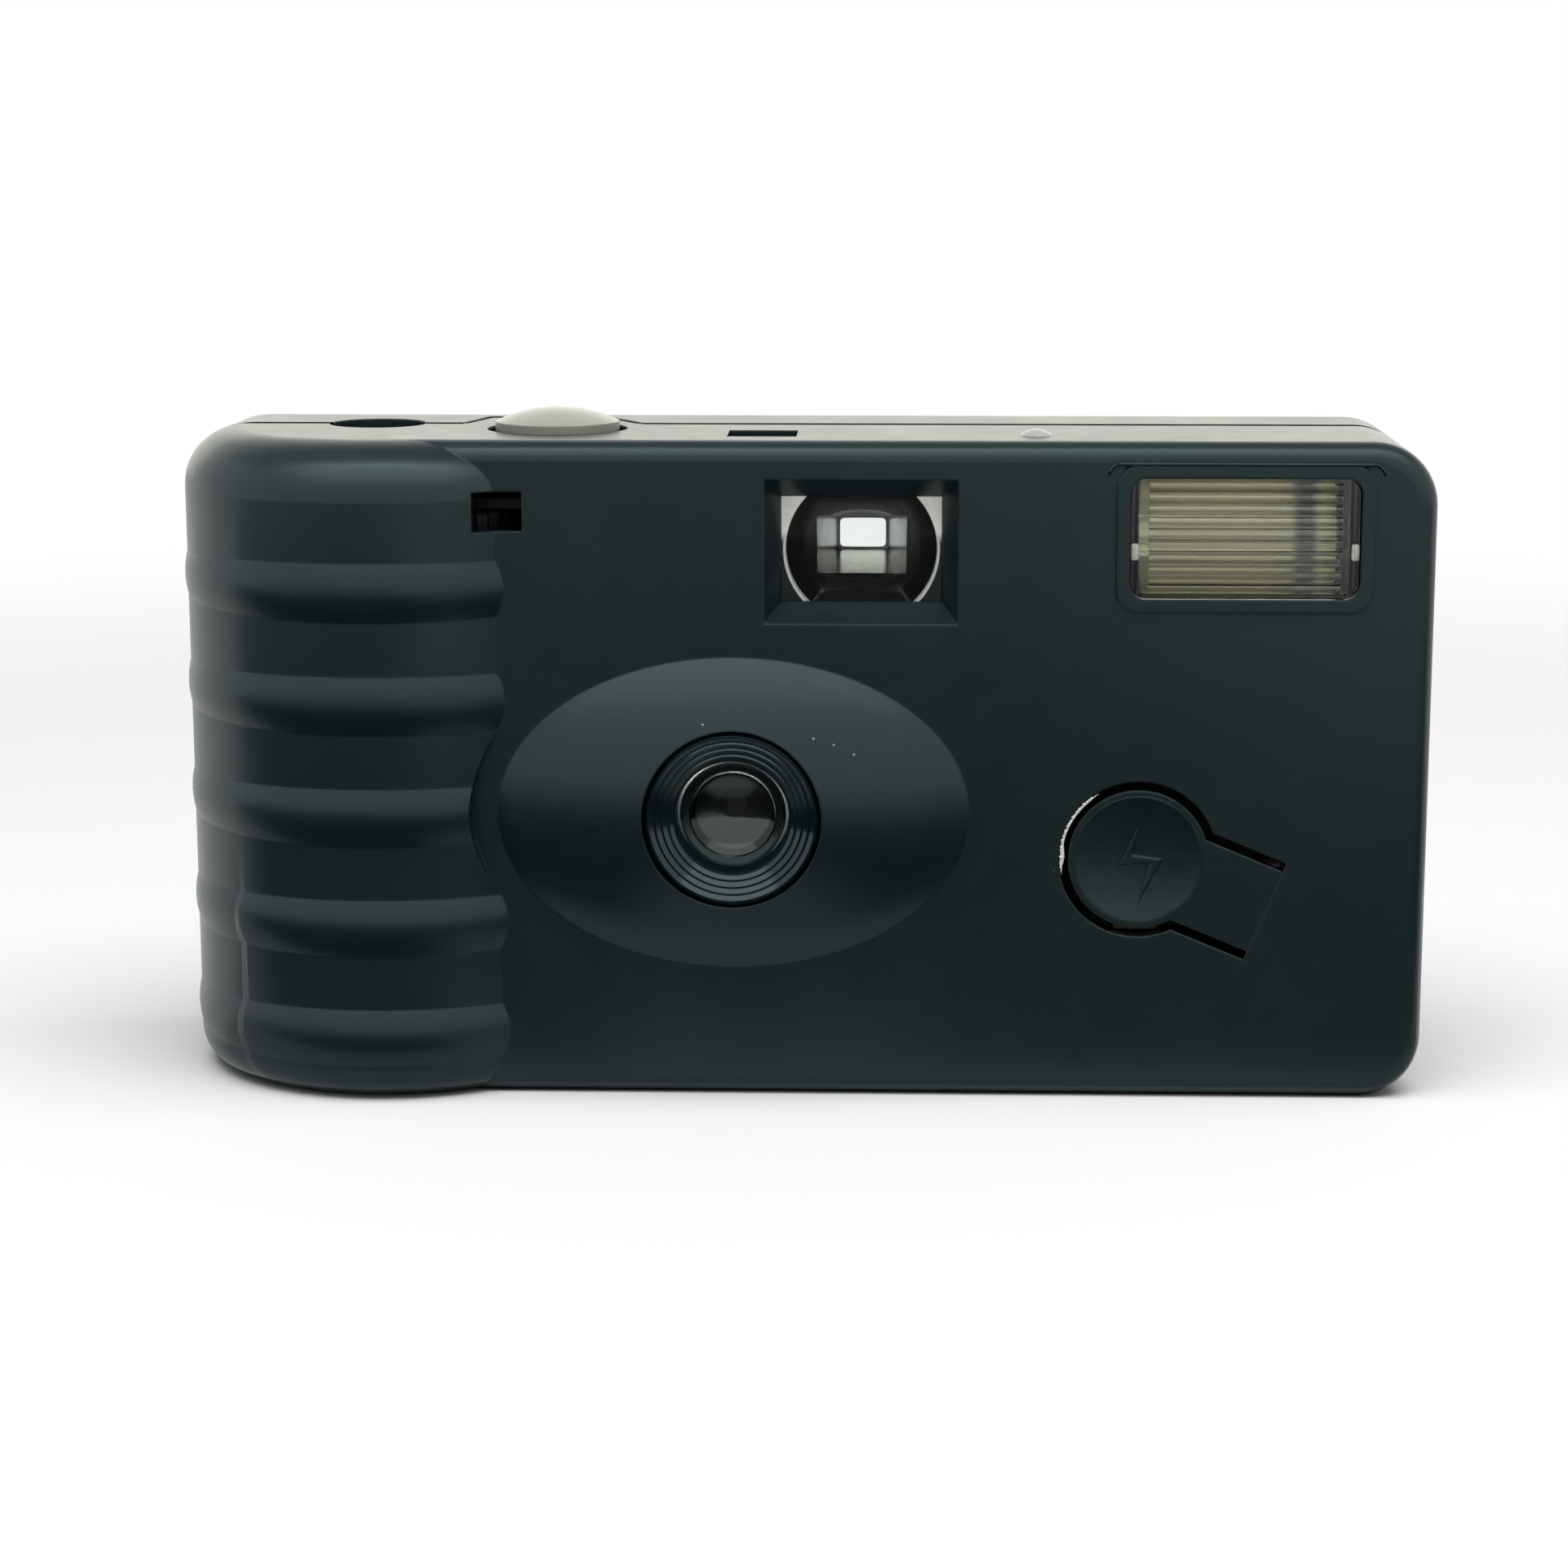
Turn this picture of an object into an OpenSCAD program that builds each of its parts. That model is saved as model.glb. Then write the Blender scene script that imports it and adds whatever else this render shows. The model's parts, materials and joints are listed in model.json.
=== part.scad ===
// Single-use 35 mm film camera with a built-in flash, in millimetres, +Z up.
// The lens looks along -Y and the camera stands on its base.
// Inside the modules y is counted from the flat front face towards the back.

/* [Body] */
// Overall width
body_w = 116.4; // [116:0.1:130]
// Overall height
body_h = 61; // [60:0.5:68]
// Depth from the flat front face to the back face
body_d = 28; // [27.5:0.25:31]
// Thickness of the moulded covers
wall = 1.5; // [1.2:0.1:1.7]
// Depth of the front cover, from the flat front face to the seam
seam_y = 17.5; // [16.5:0.25:18.5]
// Gap along the seam between the covers
seam_gap = 0.15; // [0.1:0.05:0.3]
// Depth of the shadow line along the seam on the top
seam_step = 0.15; // [0.1:0.05:0.3]
// Radius of the corners seen from the front
corner_r = 5.8; // [5:0.2:7]
// Rounding of the front and back edges
edge_r = 1.8; // [1.2:0.1:2.4]

/* [Grip] */
// Depth of the grip's vertical axis in front of the back face
grip_back = 12.5; // [12:0.1:13]
// Radius of the grip between its ribs
grip_r = 19.3; // [18.5:0.1:19.7]
// How far a rib stands out at the front
rib_h = 0.5; // [0.3:0.05:0.8]
// How far a rib stands out at the side
rib_side = 0.2; // [0.1:0.05:0.3]
// Radius of a rib's rounded section
rib_round = 7.5; // [6:0.25:9]
// Number of ribs
rib_count = 5; // [3:1:5]
// Spacing of the ribs
rib_pitch = 10.36; // [9.5:0.02:10.6]
// Height of the lowest rib's middle
rib_z = 6.1; // [5.2:0.1:7]
// Rounding at the top of the grip
grip_top_r = 5.3; // [4.5:0.1:6]
// Rounding at the foot of the grip
grip_foot_r = 3.5; // [3:0.1:4]

/* [Lens] */
// Distance from the grip's axis to the lens axis, sideways
lens_run = 33.1; // [32.8:0.1:34]
// Height of the lens axis
lens_z = 26.8; // [26:0.1:28]
// Width of the oval dome round the lens
dome_w = 43.4; // [40:0.2:45]
// Height of the oval dome as seen from the front
dome_tall = 29; // [26:0.2:30]
// How far the dome stands out of the front face
dome_h = 4.5; // [4.4:0.1:5.5]
// Width of the moat that the dome clears in the grip
moat = 2.4; // [1.5:0.1:3]
// Diameter of the hole in the dome
lens_bore_d = 16.4; // [16:0.1:17.5]
// Diameter of the lens
lens_d = 10.1; // [9.5:0.1:10.6]
// Clear opening of the ring in front of the lens
ring_open_d = 8.2; // [8:0.1:9]
// Diameter of the fixed aperture
aperture_d = 2.8; // [2:0.1:3.6]

/* [Viewfinder] */
// Distance from the lens axis to the finder's middle, sideways
finder_run = 11.7; // [11:0.1:13]
// Height of the finder's middle
finder_z = 51; // [50.9:0.1:52]
// Width of the finder's recess
finder_w = 17.6; // [16:0.1:18.4]
// Height of the finder's recess
finder_tall = 13.2; // [12:0.1:13.6]
// Depth of the finder's recess
finder_depth = 2.5; // [2:0.1:3]
// Slope of the recess, sideways
finder_slope_x = 1.5; // [1:0.1:2]
// Slope of the recess, up and down
finder_slope_z = 1.8; // [1:0.1:2]
// Width of the eyepiece
eyepiece_w = 8; // [7:0.1:10]
// Height of the eyepiece
eyepiece_tall = 5; // [4.5:0.1:7.6]

/* [Flash] */
// Distance from the right side to the flash window's middle
flash_side = 17.4; // [16.2:0.1:17.7]
// Height of the flash window's middle
flash_z = 52.35; // [52.2:0.05:53]
// Width of the flash window
flash_w = 20.8; // [18:0.1:22]
// Height of the flash window
flash_tall = 11; // [9:0.1:11.4]
// Width of the raised rim round the flash window
pad_rim = 1.2; // [0.8:0.1:1.6]
// Height of the raised rim
pad_h = 0.35; // [0.2:0.05:0.6]
// Number of ribs on the flash window
flash_ribs = 10; // [6:1:12]

/* [Charge tab] */
// Distance from the right side to the middle of the tab's disc
tab_side = 26.55; // [24.7:0.05:27.7]
// Height of the tab's disc
tab_z = 22.7; // [21:0.1:25]
// Diameter of the tab's disc
tab_d = 12.9; // [12:0.1:14]
// Width of the slot round the tab
tab_slot = 0.85; // [0.6:0.05:1.1]
// Width of the tongue that carries the disc
tongue_w = 8.15; // [7:0.05:9]
// Distance from the disc's middle to the tongue's root
tongue_len = 12.7; // [11.5:0.1:14]
// Slope of the tongue
tongue_angle = 22.5; // [15:0.5:30]

/* [Top] */
// Distance from the grip's axis to the shutter button, sideways
button_run = 16.2; // [15.5:0.1:17]
// Depth of the shutter button's middle
button_y = 12.5; // [12:0.1:13]
// Diameter of the shutter button
button_d = 11.6; // [11:0.1:13]
// Gap round the shutter button
button_gap = 0.8; // [0.3:0.05:0.9]
// How far the button's crown stands above the top
button_h = 2; // [1.8:0.1:3]
// Travel of the shutter button
button_travel = 1.4; // [1:0.1:1.5]
// Distance from the grip's axis to the counter hole, sideways
counter_run = -1.3; // [-3:0.1:-0.5]
// Diameter of the counter hole
counter_d = 9.2; // [7:0.1:10]
// Diameter of the ready light
ready_d = 3; // [2:0.1:3.4]

/* [Film] */
// Diameter of the film cartridge
cart_d = 25; // [24.5:0.1:25.4]
// Height of the film cartridge's shell
cart_h = 43; // [42.5:0.1:43.2]
// Width of the film
film_w = 35; // [34.5:0.1:35.4]
// Thickness of the film
film_t = 0.14; // [0.12:0.01:0.2]
// Width of the picture gate
frame_w = 36; // [35:0.1:36.5]
// Height of the picture gate
frame_tall = 24; // [23:0.1:24.4]
// Diameter of the film left on the supply spool
film_roll_d = 17.2; // [14:0.1:17.6]
// Height of the thumb wheel
wheel_t = 4; // [3:0.1:4.2]

/* [Hidden] */
$fn = 64;
eps = 0.01;
big = 200;

// Fits
plate_t = 1.2;
fit = 0.2;
run_gap = 0.3;
pin_gap = 0.05;
pin_r = 1.5;
post_r = 1;

// The covers: planes and the frame that centres the part on its box
grip_y = body_d - grip_back;
grip_reach = grip_r + rib_h - grip_y;
face_y = (grip_reach - body_d) / 2;
right_x = body_w / 2;
left_x = -body_w / 2;
inner_top = body_h - wall;
inner_back = body_d - wall;
grip_x = left_x + grip_r + rib_side;
lens_x = grip_x + lens_run;
finder_x = lens_x + finder_run;
button_x = grip_x + button_run;
counter_x = grip_x + counter_run;
flash_x = right_x - flash_side;
tab_x = right_x - tab_side;
cavity_r = grip_r - wall - fit;
rib_band = 0.8 * rib_pitch;
back_step = 0.3;
back_left = left_x + back_step;

// Tongue of the front cover behind the button
tongue_back = button_y + button_d / 2 + button_gap + wall + 3.2;
seam_line = 0.5;
tongue_left = 3.6;
tongue_side = 1.9;

// Lens dome
dome_r = (pow(dome_tall / 2, 2) + pow(dome_h, 2)) / (2 * dome_h);
dome_k = dome_w / dome_tall;
ring_r = lens_bore_d / 2 - 0.15;
barrel_r = ring_r - 0.75;
ring_front = -dome_h + 1.5;
lens_front = 0.6;
lens_t = 1.5;

// Film plane, cartridge and spools
film_y = inner_back - 1.5;
gate_y = film_y - fit;
gate_t = 2;
gate_z = lens_z - film_w / 2 - 1.5;
gate_top = lens_z + film_w / 2 + 1.5;
cart_r = cart_d / 2;
cart_gap = 0.4;
cart_x = grip_x - 0.8;
cart_y = inner_back - 0.5 - cart_r;
cart_z = lens_z - cart_h / 2;
cart_top = cart_z + cart_h;
chamber_r = cart_r + cart_gap;
lip_x = cart_x + sqrt(pow(cart_r, 2) - pow(film_y - cart_y, 2)) + 3.6;
film_z = lens_z - film_w / 2;
film_top = film_z + film_w;
roll_r = film_roll_d / 2;
spool_r = 5;
supply_side = 27.8;
supply_x = right_x - supply_side;
supply_y = gate_y - roll_r;
supply_r = roll_r + 0.9;
supply_wall = 1.1;
supply_top = film_top + 0.5;
perf_pitch = 4.75;
perf_w = 2;
perf_tall = 2.8;
perf_inset = 2;

// Levels of the winding and shutter works, counted up from the film
shelf_z = film_top + 2.2;
shelf_top = shelf_z + plate_t;
chamber_top = cart_top + run_gap + 1;
wheel_z = chamber_top + fit;
wheel_top = wheel_z + wheel_t;
deck_z = wheel_top + run_gap;
deck_t = 1;
deck_top = deck_z + deck_t;
dial_z = deck_top + fit;
dial_t = 1.3;
lever_t = 1.2;
eye_r = 1.9;
striker_z = shelf_top + run_gap;
meter_z = striker_z + lever_t + 0.4;
boss_top = wheel_top - 1.4;

// Thumb wheel, sprocket and counter
wheel_r = body_d - fit - cart_y;
wheel_teeth = 56;
knurl = 0.6;
hub_r = 3;
key_w = 1.7;
key_l = 7.6;
boss_r = 5.4;
sprocket_r = 8 * perf_pitch / (2 * PI);
sprocket_x = cart_x + 19;
sprocket_y = film_y - sprocket_r - pin_gap;
drum_z = lens_z + frame_tall / 2 + plate_t + fit;
drum_t = 2.6;
shaft_r = 2;
cam_r = 3.6;
dial_r = 8;
dial_x = cart_x + 4.5;
dial_y = cart_y + 2.5;
counter_y = seam_y - 0.5;
finger_r = norm([sprocket_x - dial_x, sprocket_y - dial_y]) - dial_r - 0.4;

// Shutter works
shutter_y = 8;
holder_y = 5;
holder_t = 1.6;
holder_half = 15;
holder_tall = 22.4;
blade_y = shutter_y - 0.8;
blade_t = 0.4;
blade_x = lens_x - 9.4;
blade_z = lens_z + 13.2;
blade_w = 3;
tail_w = 1.5;
tail_top = striker_z + lever_t + 0.8;
striker_x = lens_x - 7.9;
striker_y = sprocket_y - 1.9;
meter_x = sprocket_x + 5.6;
meter_y = sprocket_y + 3.7;
pawl_x = sprocket_x + 1;
pawl_y = cart_y - 1.5;
works_x = lens_x - 2.9;
stem_r = 1.8;
stem_x = button_x;
stem_y = button_y - 3;
button_flange = 1.2;
flange_t = 0.8;
flange_top = inner_top - fit;
stem_end = meter_z + lever_t + button_travel + run_gap;

// Battery and flash unit
floor_z = wall + fit;
floor_top = floor_z + plate_t;
battery_r = 5.25;
battery_l = 44.5;
battery_x = lens_x - 17.9;
battery_y = wall + fit + battery_r + 0.3;
battery_z = floor_top + battery_r + 0.1;
contact_t = 0.3;
board_w = 30.5;
board_side = 3.2;
board_x = right_x - board_side - board_w;
board_y = 4.2;
board_t = 1.2;
board_back = board_y + board_t;
trough_top = battery_z + battery_r + 0.6;
roof_top = trough_top + plate_t;
board_z = roof_top + fit;
board_top = 45;
coil_x = supply_x + 18;
lamp_top = 50;
lamp_r = 1.6;
ready_side = 36.15;
ready_x = right_x - ready_side;
ready_y = 6.8;
tube_r = 1.5;
window_flange = 0.7;
pad_round = 2;
window_back = wall + 1;
reflector_r = flash_tall / 2 - 0.3;
reflector_y = window_back + 1.6;
tube_y = reflector_y + 2;
tab_t = wall - 0.3;

// Openings of the covers
hole_x = grip_x + 11.8;
hole_z = 54.6;
hole_w = 4.4;
hole_tall = 3.6;
slot_x = lens_x + 2.5;
slot_y = 7.9;
slot_w = 6.4;
slot_d = 6;
door_r = cart_r + cart_gap;
door_fit = 0.2;
door_tab_w = 12;
hinge_y = inner_back - 0.1;
scoop_w = 21;
scoop_d = 2;
scoop_z = wheel_z - 0.9;
scoop_top = wheel_top + 0.7;
slot_gap = 0.5;

// Colours
body_black = [0.13, 0.16, 0.17];
inner_black = [0.07, 0.08, 0.09];
gloss_black = [0.03, 0.03, 0.04];
button_grey = [0.62, 0.62, 0.57];
clear = [0.85, 0.9, 0.92];
steel = [0.7, 0.71, 0.73];
brass = [0.78, 0.66, 0.38];

// Moves children into the part's frame, whose origin is under the middle of its box
module placed() {
    translate([0, face_y, 0]) children();
}

// Extrudes an outline in x and z from depth y0 to depth y1
module slab(y0, y1) {
    translate([0, y1, 0]) rotate([90, 0, 0]) linear_extrude(y1 - y0) children();
}

// Extrudes an outline in y and z along x
module run_x(x0, x1) {
    translate([x0, 0, 0]) rotate([90, 0, 90]) linear_extrude(x1 - x0) children();
}

// Extrudes an outline in x and y from z0 to z1
module rise(z0, z1) {
    translate([0, 0, z0]) linear_extrude(z1 - z0) children();
}

// Revolves an outline of radius and depth about a line along y
module turned(x, z) {
    translate([x, 0, z]) rotate([-90, 0, 0]) rotate_extrude() children();
}

// A pin or a bore along y
module pin_y(x, z, r, y0, y1) {
    translate([x, y0, z]) rotate([-90, 0, 0]) cylinder(r = r, h = y1 - y0);
}

// A pin or a bore along z
module pin_z(x, y, r, z0, z1) {
    translate([x, y, z0]) cylinder(r = r, h = z1 - z0);
}

// A pin along x
module pin_x(y, z, r, x0, x1) {
    translate([x0, y, z]) rotate([0, 90, 0]) cylinder(r = r, h = x1 - x0);
}

// A box between two corners
module box(a, b) {
    translate(a) cube(b - a);
}

// A rectangle about its middle with round corners
module rounded(w, h, r) {
    square([w - 2 * r, h], center = true);
    square([w, h - 2 * r], center = true);
    for (sx = [-1, 1], sy = [-1, 1])
        translate([sx * (w / 2 - r), sy * (h / 2 - r)]) circle(r);
}

// An oval about its middle
module oval(w, h) {
    scale([w / h, 1]) circle(h / 2);
}

// A bar with round ends from one point to another
module bar(a, b, w) {
    d = b - a;
    translate(a) rotate(atan2(d[1], d[0])) {
        translate([0, -w / 2]) square([norm(d), w]);
        circle(w / 2);
        translate([norm(d), 0]) circle(w / 2);
    }
}

// Section of a cover's rim: depth across, reach up, with the front corner rounded
module rim_section(depth, reach) {
    square([depth, reach - edge_r]);
    translate([edge_r, 0]) square([depth - edge_r, reach]);
    translate([edge_r, reach - edge_r]) circle(edge_r);
}

// Rounded end of a pan: a side wall and two corners, to the right of x
module pan_end(x, depth) {
    translate([x, 0, corner_r]) linear_extrude(body_h - 2 * corner_r)
        mirror([1, -1]) rim_section(depth, corner_r);
    translate([x, 0, corner_r]) rotate([-90, 0, 0])
        rotate_extrude(angle = 90) mirror([1, -1]) rim_section(depth, corner_r);
    translate([x, 0, body_h - corner_r]) rotate([-90, 0, 0]) rotate([0, 0, -90])
        rotate_extrude(angle = 90) mirror([1, -1]) rim_section(depth, corner_r);
    // Laps that join the corners to the wall and to the run
    lap = corner_r / 3;
    for (z = [corner_r, body_h - corner_r]) box([x - lap, 0, z - lap], [x + lap, depth, z + lap]);
}

// Straight run of a pan between two places
module pan_run(x0, x1, depth) {
    translate([0, 0, body_h / 2]) run_x(x0, x1) {
        rim_section(depth, body_h / 2);
        mirror([0, 1]) rim_section(depth, body_h / 2);
    }
}

// Half section of the grip between its ribs, with rounded ends
module grip_section() {
    translate([0, grip_foot_r]) square([grip_r, body_h - grip_top_r - grip_foot_r]);
    square([grip_r - grip_foot_r, body_h / 2]);
    translate([grip_r - grip_foot_r, grip_foot_r]) circle(grip_foot_r);
    translate([0, body_h / 2]) square([grip_r - grip_top_r, body_h / 2]);
    translate([grip_r - grip_top_r, body_h - grip_top_r]) circle(grip_top_r);
}

// Half section of the ribs, each the crown of a circle
module rib_section() {
    for (i = [0 : rib_count - 1])
        translate([grip_r + rib_side - rib_round, rib_z + i * rib_pitch]) intersection() {
            circle(rib_round);
            translate([0, -rib_band / 2]) square([2 * rib_round, rib_band]);
        }
}

// Outside of the front cover, solid, up to the seam
module front_form() {
    difference() {
        union() {
            pan_run(grip_x, right_x - corner_r, body_d);
            pan_end(right_x - corner_r, body_d);
            translate([grip_x, grip_y, 0]) rotate_extrude() grip_section();
            // The ribs stand out most at the front, the way that the mould opens
            translate([grip_x, grip_y - rib_h + rib_side, 0]) rotate_extrude() rib_section();
        }
        box([-big, seam_y, -big], [big, big, big]);
        slab(-big, 0) translate([lens_x, lens_z]) oval(dome_w + 2 * moat, dome_tall + 2 * moat);
    }
}

// Room inside the front cover
module front_room() {
    chamfer = grip_top_r - wall;
    translate([grip_x, grip_y, 0]) rotate_extrude() polygon([
        [0, wall], [cavity_r - wall, wall], [cavity_r, 2 * wall], [cavity_r, inner_top - chamfer],
        [cavity_r - chamfer, inner_top], [0, inner_top]]);
    box([grip_x, wall, wall], [right_x - corner_r, big, inner_top]);
    translate([(right_x - corner_r), 0, body_h / 2]) slab(wall, big)
        rounded(2 * (corner_r - wall), body_h - 2 * wall, corner_r - wall - eps);
}

// Spherical cap drawn out sideways to the oval of the dome, shrunk by a wall
module dome_form(shrink, base_y) {
    intersection() {
        translate([lens_x, dome_r - dome_h, lens_z]) scale([dome_k, 1, 1])
            sphere(dome_r - shrink, $fn = 128);
        box([-big, -big, 0], [big, base_y, body_h]);
    }
}

// Outline of the tongue of the front cover that goes back round the button
module seam_tongue(grow) {
    x0 = button_x - button_d / 2;
    x1 = button_x + button_d / 2;
    polygon([
        [x0 - tongue_left - grow, seam_y - wall],
        [x0 - tongue_left - grow, seam_y + grow],
        [x0 - tongue_side - grow, tongue_back + grow],
        [x1 - tongue_side + grow, tongue_back + grow],
        [x1 + tongue_side + grow, seam_y + grow],
        [x1 + tongue_side + grow, seam_y - wall]]);
}

// Shallow step along the seam on the top, which draws the seam as a dark line
module seam_shadow() {
    difference() {
        box([-big, -big, body_h - seam_step], [big, big, big]);
        rise(0, 2 * big) {
            translate([-big, -big]) square([2 * big, big + seam_y - seam_line]);
            seam_tongue(-seam_line);
        }
    }
}

// Outline of the disc and tongue of the charge tab, grown by the slot
module tab_outline(grow) {
    translate([tab_x, tab_z]) {
        circle(tab_d / 2 + grow);
        rotate(-tongue_angle) translate([0, -tongue_w / 2 - grow])
            square([tongue_len, tongue_w + 2 * grow]);
    }
}

// Outline of the film door in the base, grown by its fit
module door_outline(grow) {
    translate([cart_x, cart_y]) circle(door_r + grow);
    translate([cart_x - door_tab_w / 2 - grow, cart_y])
        square([door_tab_w + 2 * grow, hinge_y - cart_y]);
}

// Holes that both covers share
module shared_holes() {
    pin_z(counter_x, counter_y, counter_d / 2, body_h - 2 * wall, big);
    rise(-1, 2 * wall) door_outline(door_fit);
}

// Sloping recess of the finder
module finder_funnel() {
    translate([finder_x, 0, finder_z]) hull() {
        slab(-eps, 0) square([finder_w, finder_tall], center = true);
        slab(finder_depth, finder_depth + eps)
            square([finder_w - 2 * finder_slope_x, finder_tall - 2 * finder_slope_z], center = true);
    }
}

module front_cover() {
    color(body_black) placed() difference() {
        union() {
            difference() {
                front_form();
                front_room();
            }
            intersection() {
                slab(0, wall) translate([lens_x, lens_z])
                    oval(dome_w + 2 * (moat + wall), dome_tall + 2 * (moat + wall));
                front_form();
            }
            dome_form(0, wall / 3);
            rise(inner_top, body_h) seam_tongue(0);
            translate([finder_x, 0, finder_z]) slab(wall / 2, finder_depth)
                square([finder_w + wall, finder_tall + wall], center = true);
            translate([flash_x, 0, flash_z]) slab(-pad_h, wall / 2)
                rounded(flash_w + 2 * pad_rim, flash_tall + 2 * pad_rim, pad_round);
        }
        dome_form(wall, wall + 1);
        pin_y(lens_x, lens_z, lens_bore_d / 2, -big, wall + 1);
        finder_funnel();
        translate([flash_x, 0, flash_z]) slab(-1, wall + 1) rounded(flash_w, flash_tall, wall);
        slab(-1, wall + 1) tab_outline(tab_slot);
        translate([hole_x, 0, hole_z]) slab(-wall, 3 * wall) square([hole_w, hole_tall], center = true);
        pin_z(button_x, button_y, button_d / 2 + button_gap, inner_top - 1, big);
        translate([slot_x, slot_y, 0]) rise(inner_top - 1, big) square([slot_w, slot_d], center = true);
        pin_z(ready_x, ready_y, ready_d / 2 + pin_gap, inner_top - 1, big);
        seam_shadow();
        shared_holes();
    }
}

// Outside of the back cover, solid, from the seam to the back face
module back_form() {
    translate([0, body_d, 0]) mirror([0, 1, 0]) {
        pan_run(back_left + corner_r, right_x - corner_r, body_d - seam_y - seam_gap);
        pan_end(right_x - corner_r, body_d - seam_y - seam_gap);
        mirror([1, 0, 0]) pan_end(-back_left - corner_r, body_d - seam_y - seam_gap);
    }
}

module back_cover() {
    mid_x = (back_left + right_x) / 2;
    slot_half = sqrt(pow(wheel_r + slot_gap, 2) - pow(body_d - scoop_d - cart_y - wall, 2));
    rail_w = 1.4;
    rim = 2;
    color(body_black) placed() difference() {
        union() {
            difference() {
                back_form();
                translate([mid_x, 0, body_h / 2]) slab(seam_y - 1, inner_back)
                    rounded(right_x - back_left - 2 * wall, body_h - 2 * wall, corner_r - wall);
            }
            // Backing of the scoop round the wheel
            box([cart_x - scoop_w / 2 - wall, body_d - scoop_d - plate_t, scoop_z - 0.4],
                [cart_x + scoop_w / 2 + wall, inner_back + eps, scoop_top + 0.4]);
            // Rails that press the film on the gate
            for (z = [film_z + 1, film_top - 1 - rail_w])
                box([lens_x - frame_w / 2, film_y + film_t + fit, z],
                    [lens_x + frame_w / 2, inner_back + eps, z + rail_w]);
            // Rim of the eyepiece
            translate([finder_x, 0, finder_z]) slab(inner_back, body_d + eps)
                rounded(eyepiece_w + 2 * rim, eyepiece_tall + 2 * rim, wall);
        }
        translate([cart_x, 0, (scoop_z + scoop_top) / 2]) slab(body_d - scoop_d, big)
            rounded(scoop_w, scoop_top - scoop_z, scoop_d);
        box([cart_x - slot_half, body_d - scoop_d - big, wheel_z - slot_gap],
            [cart_x + slot_half, big, wheel_top + slot_gap]);
        translate([finder_x, 0, finder_z]) slab(inner_back - 1, big)
            rounded(eyepiece_w, eyepiece_tall, wall / 2);
        rise(inner_top - 1, big) seam_tongue(seam_gap);
        shared_holes();
    }
}

// Stepped light tunnel from the shutter to the gate: outside and room
function step_y(i) = shutter_y + plate_t + i * (gate_y - gate_t - shutter_y - plate_t) / 3;
function step_k(i) = (i + 2) / 4;

module tunnel_form() {
    translate([lens_x, 0, lens_z]) for (i = [0 : 2])
        slab(step_y(i) - eps, step_y(i + 1) + eps) square(
            [frame_w * step_k(i) + 2 * plate_t, frame_tall * step_k(i) + 2 * plate_t], center = true);
}

module tunnel_room() {
    translate([lens_x, 0, lens_z]) for (i = [0 : 2])
        slab(step_y(i) + (i > 0 ? plate_t : 0), i < 2 ? step_y(i + 1) + plate_t + eps : gate_y + 1)
            square([frame_w * step_k(i), frame_tall * step_k(i)], center = true);
}

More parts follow.
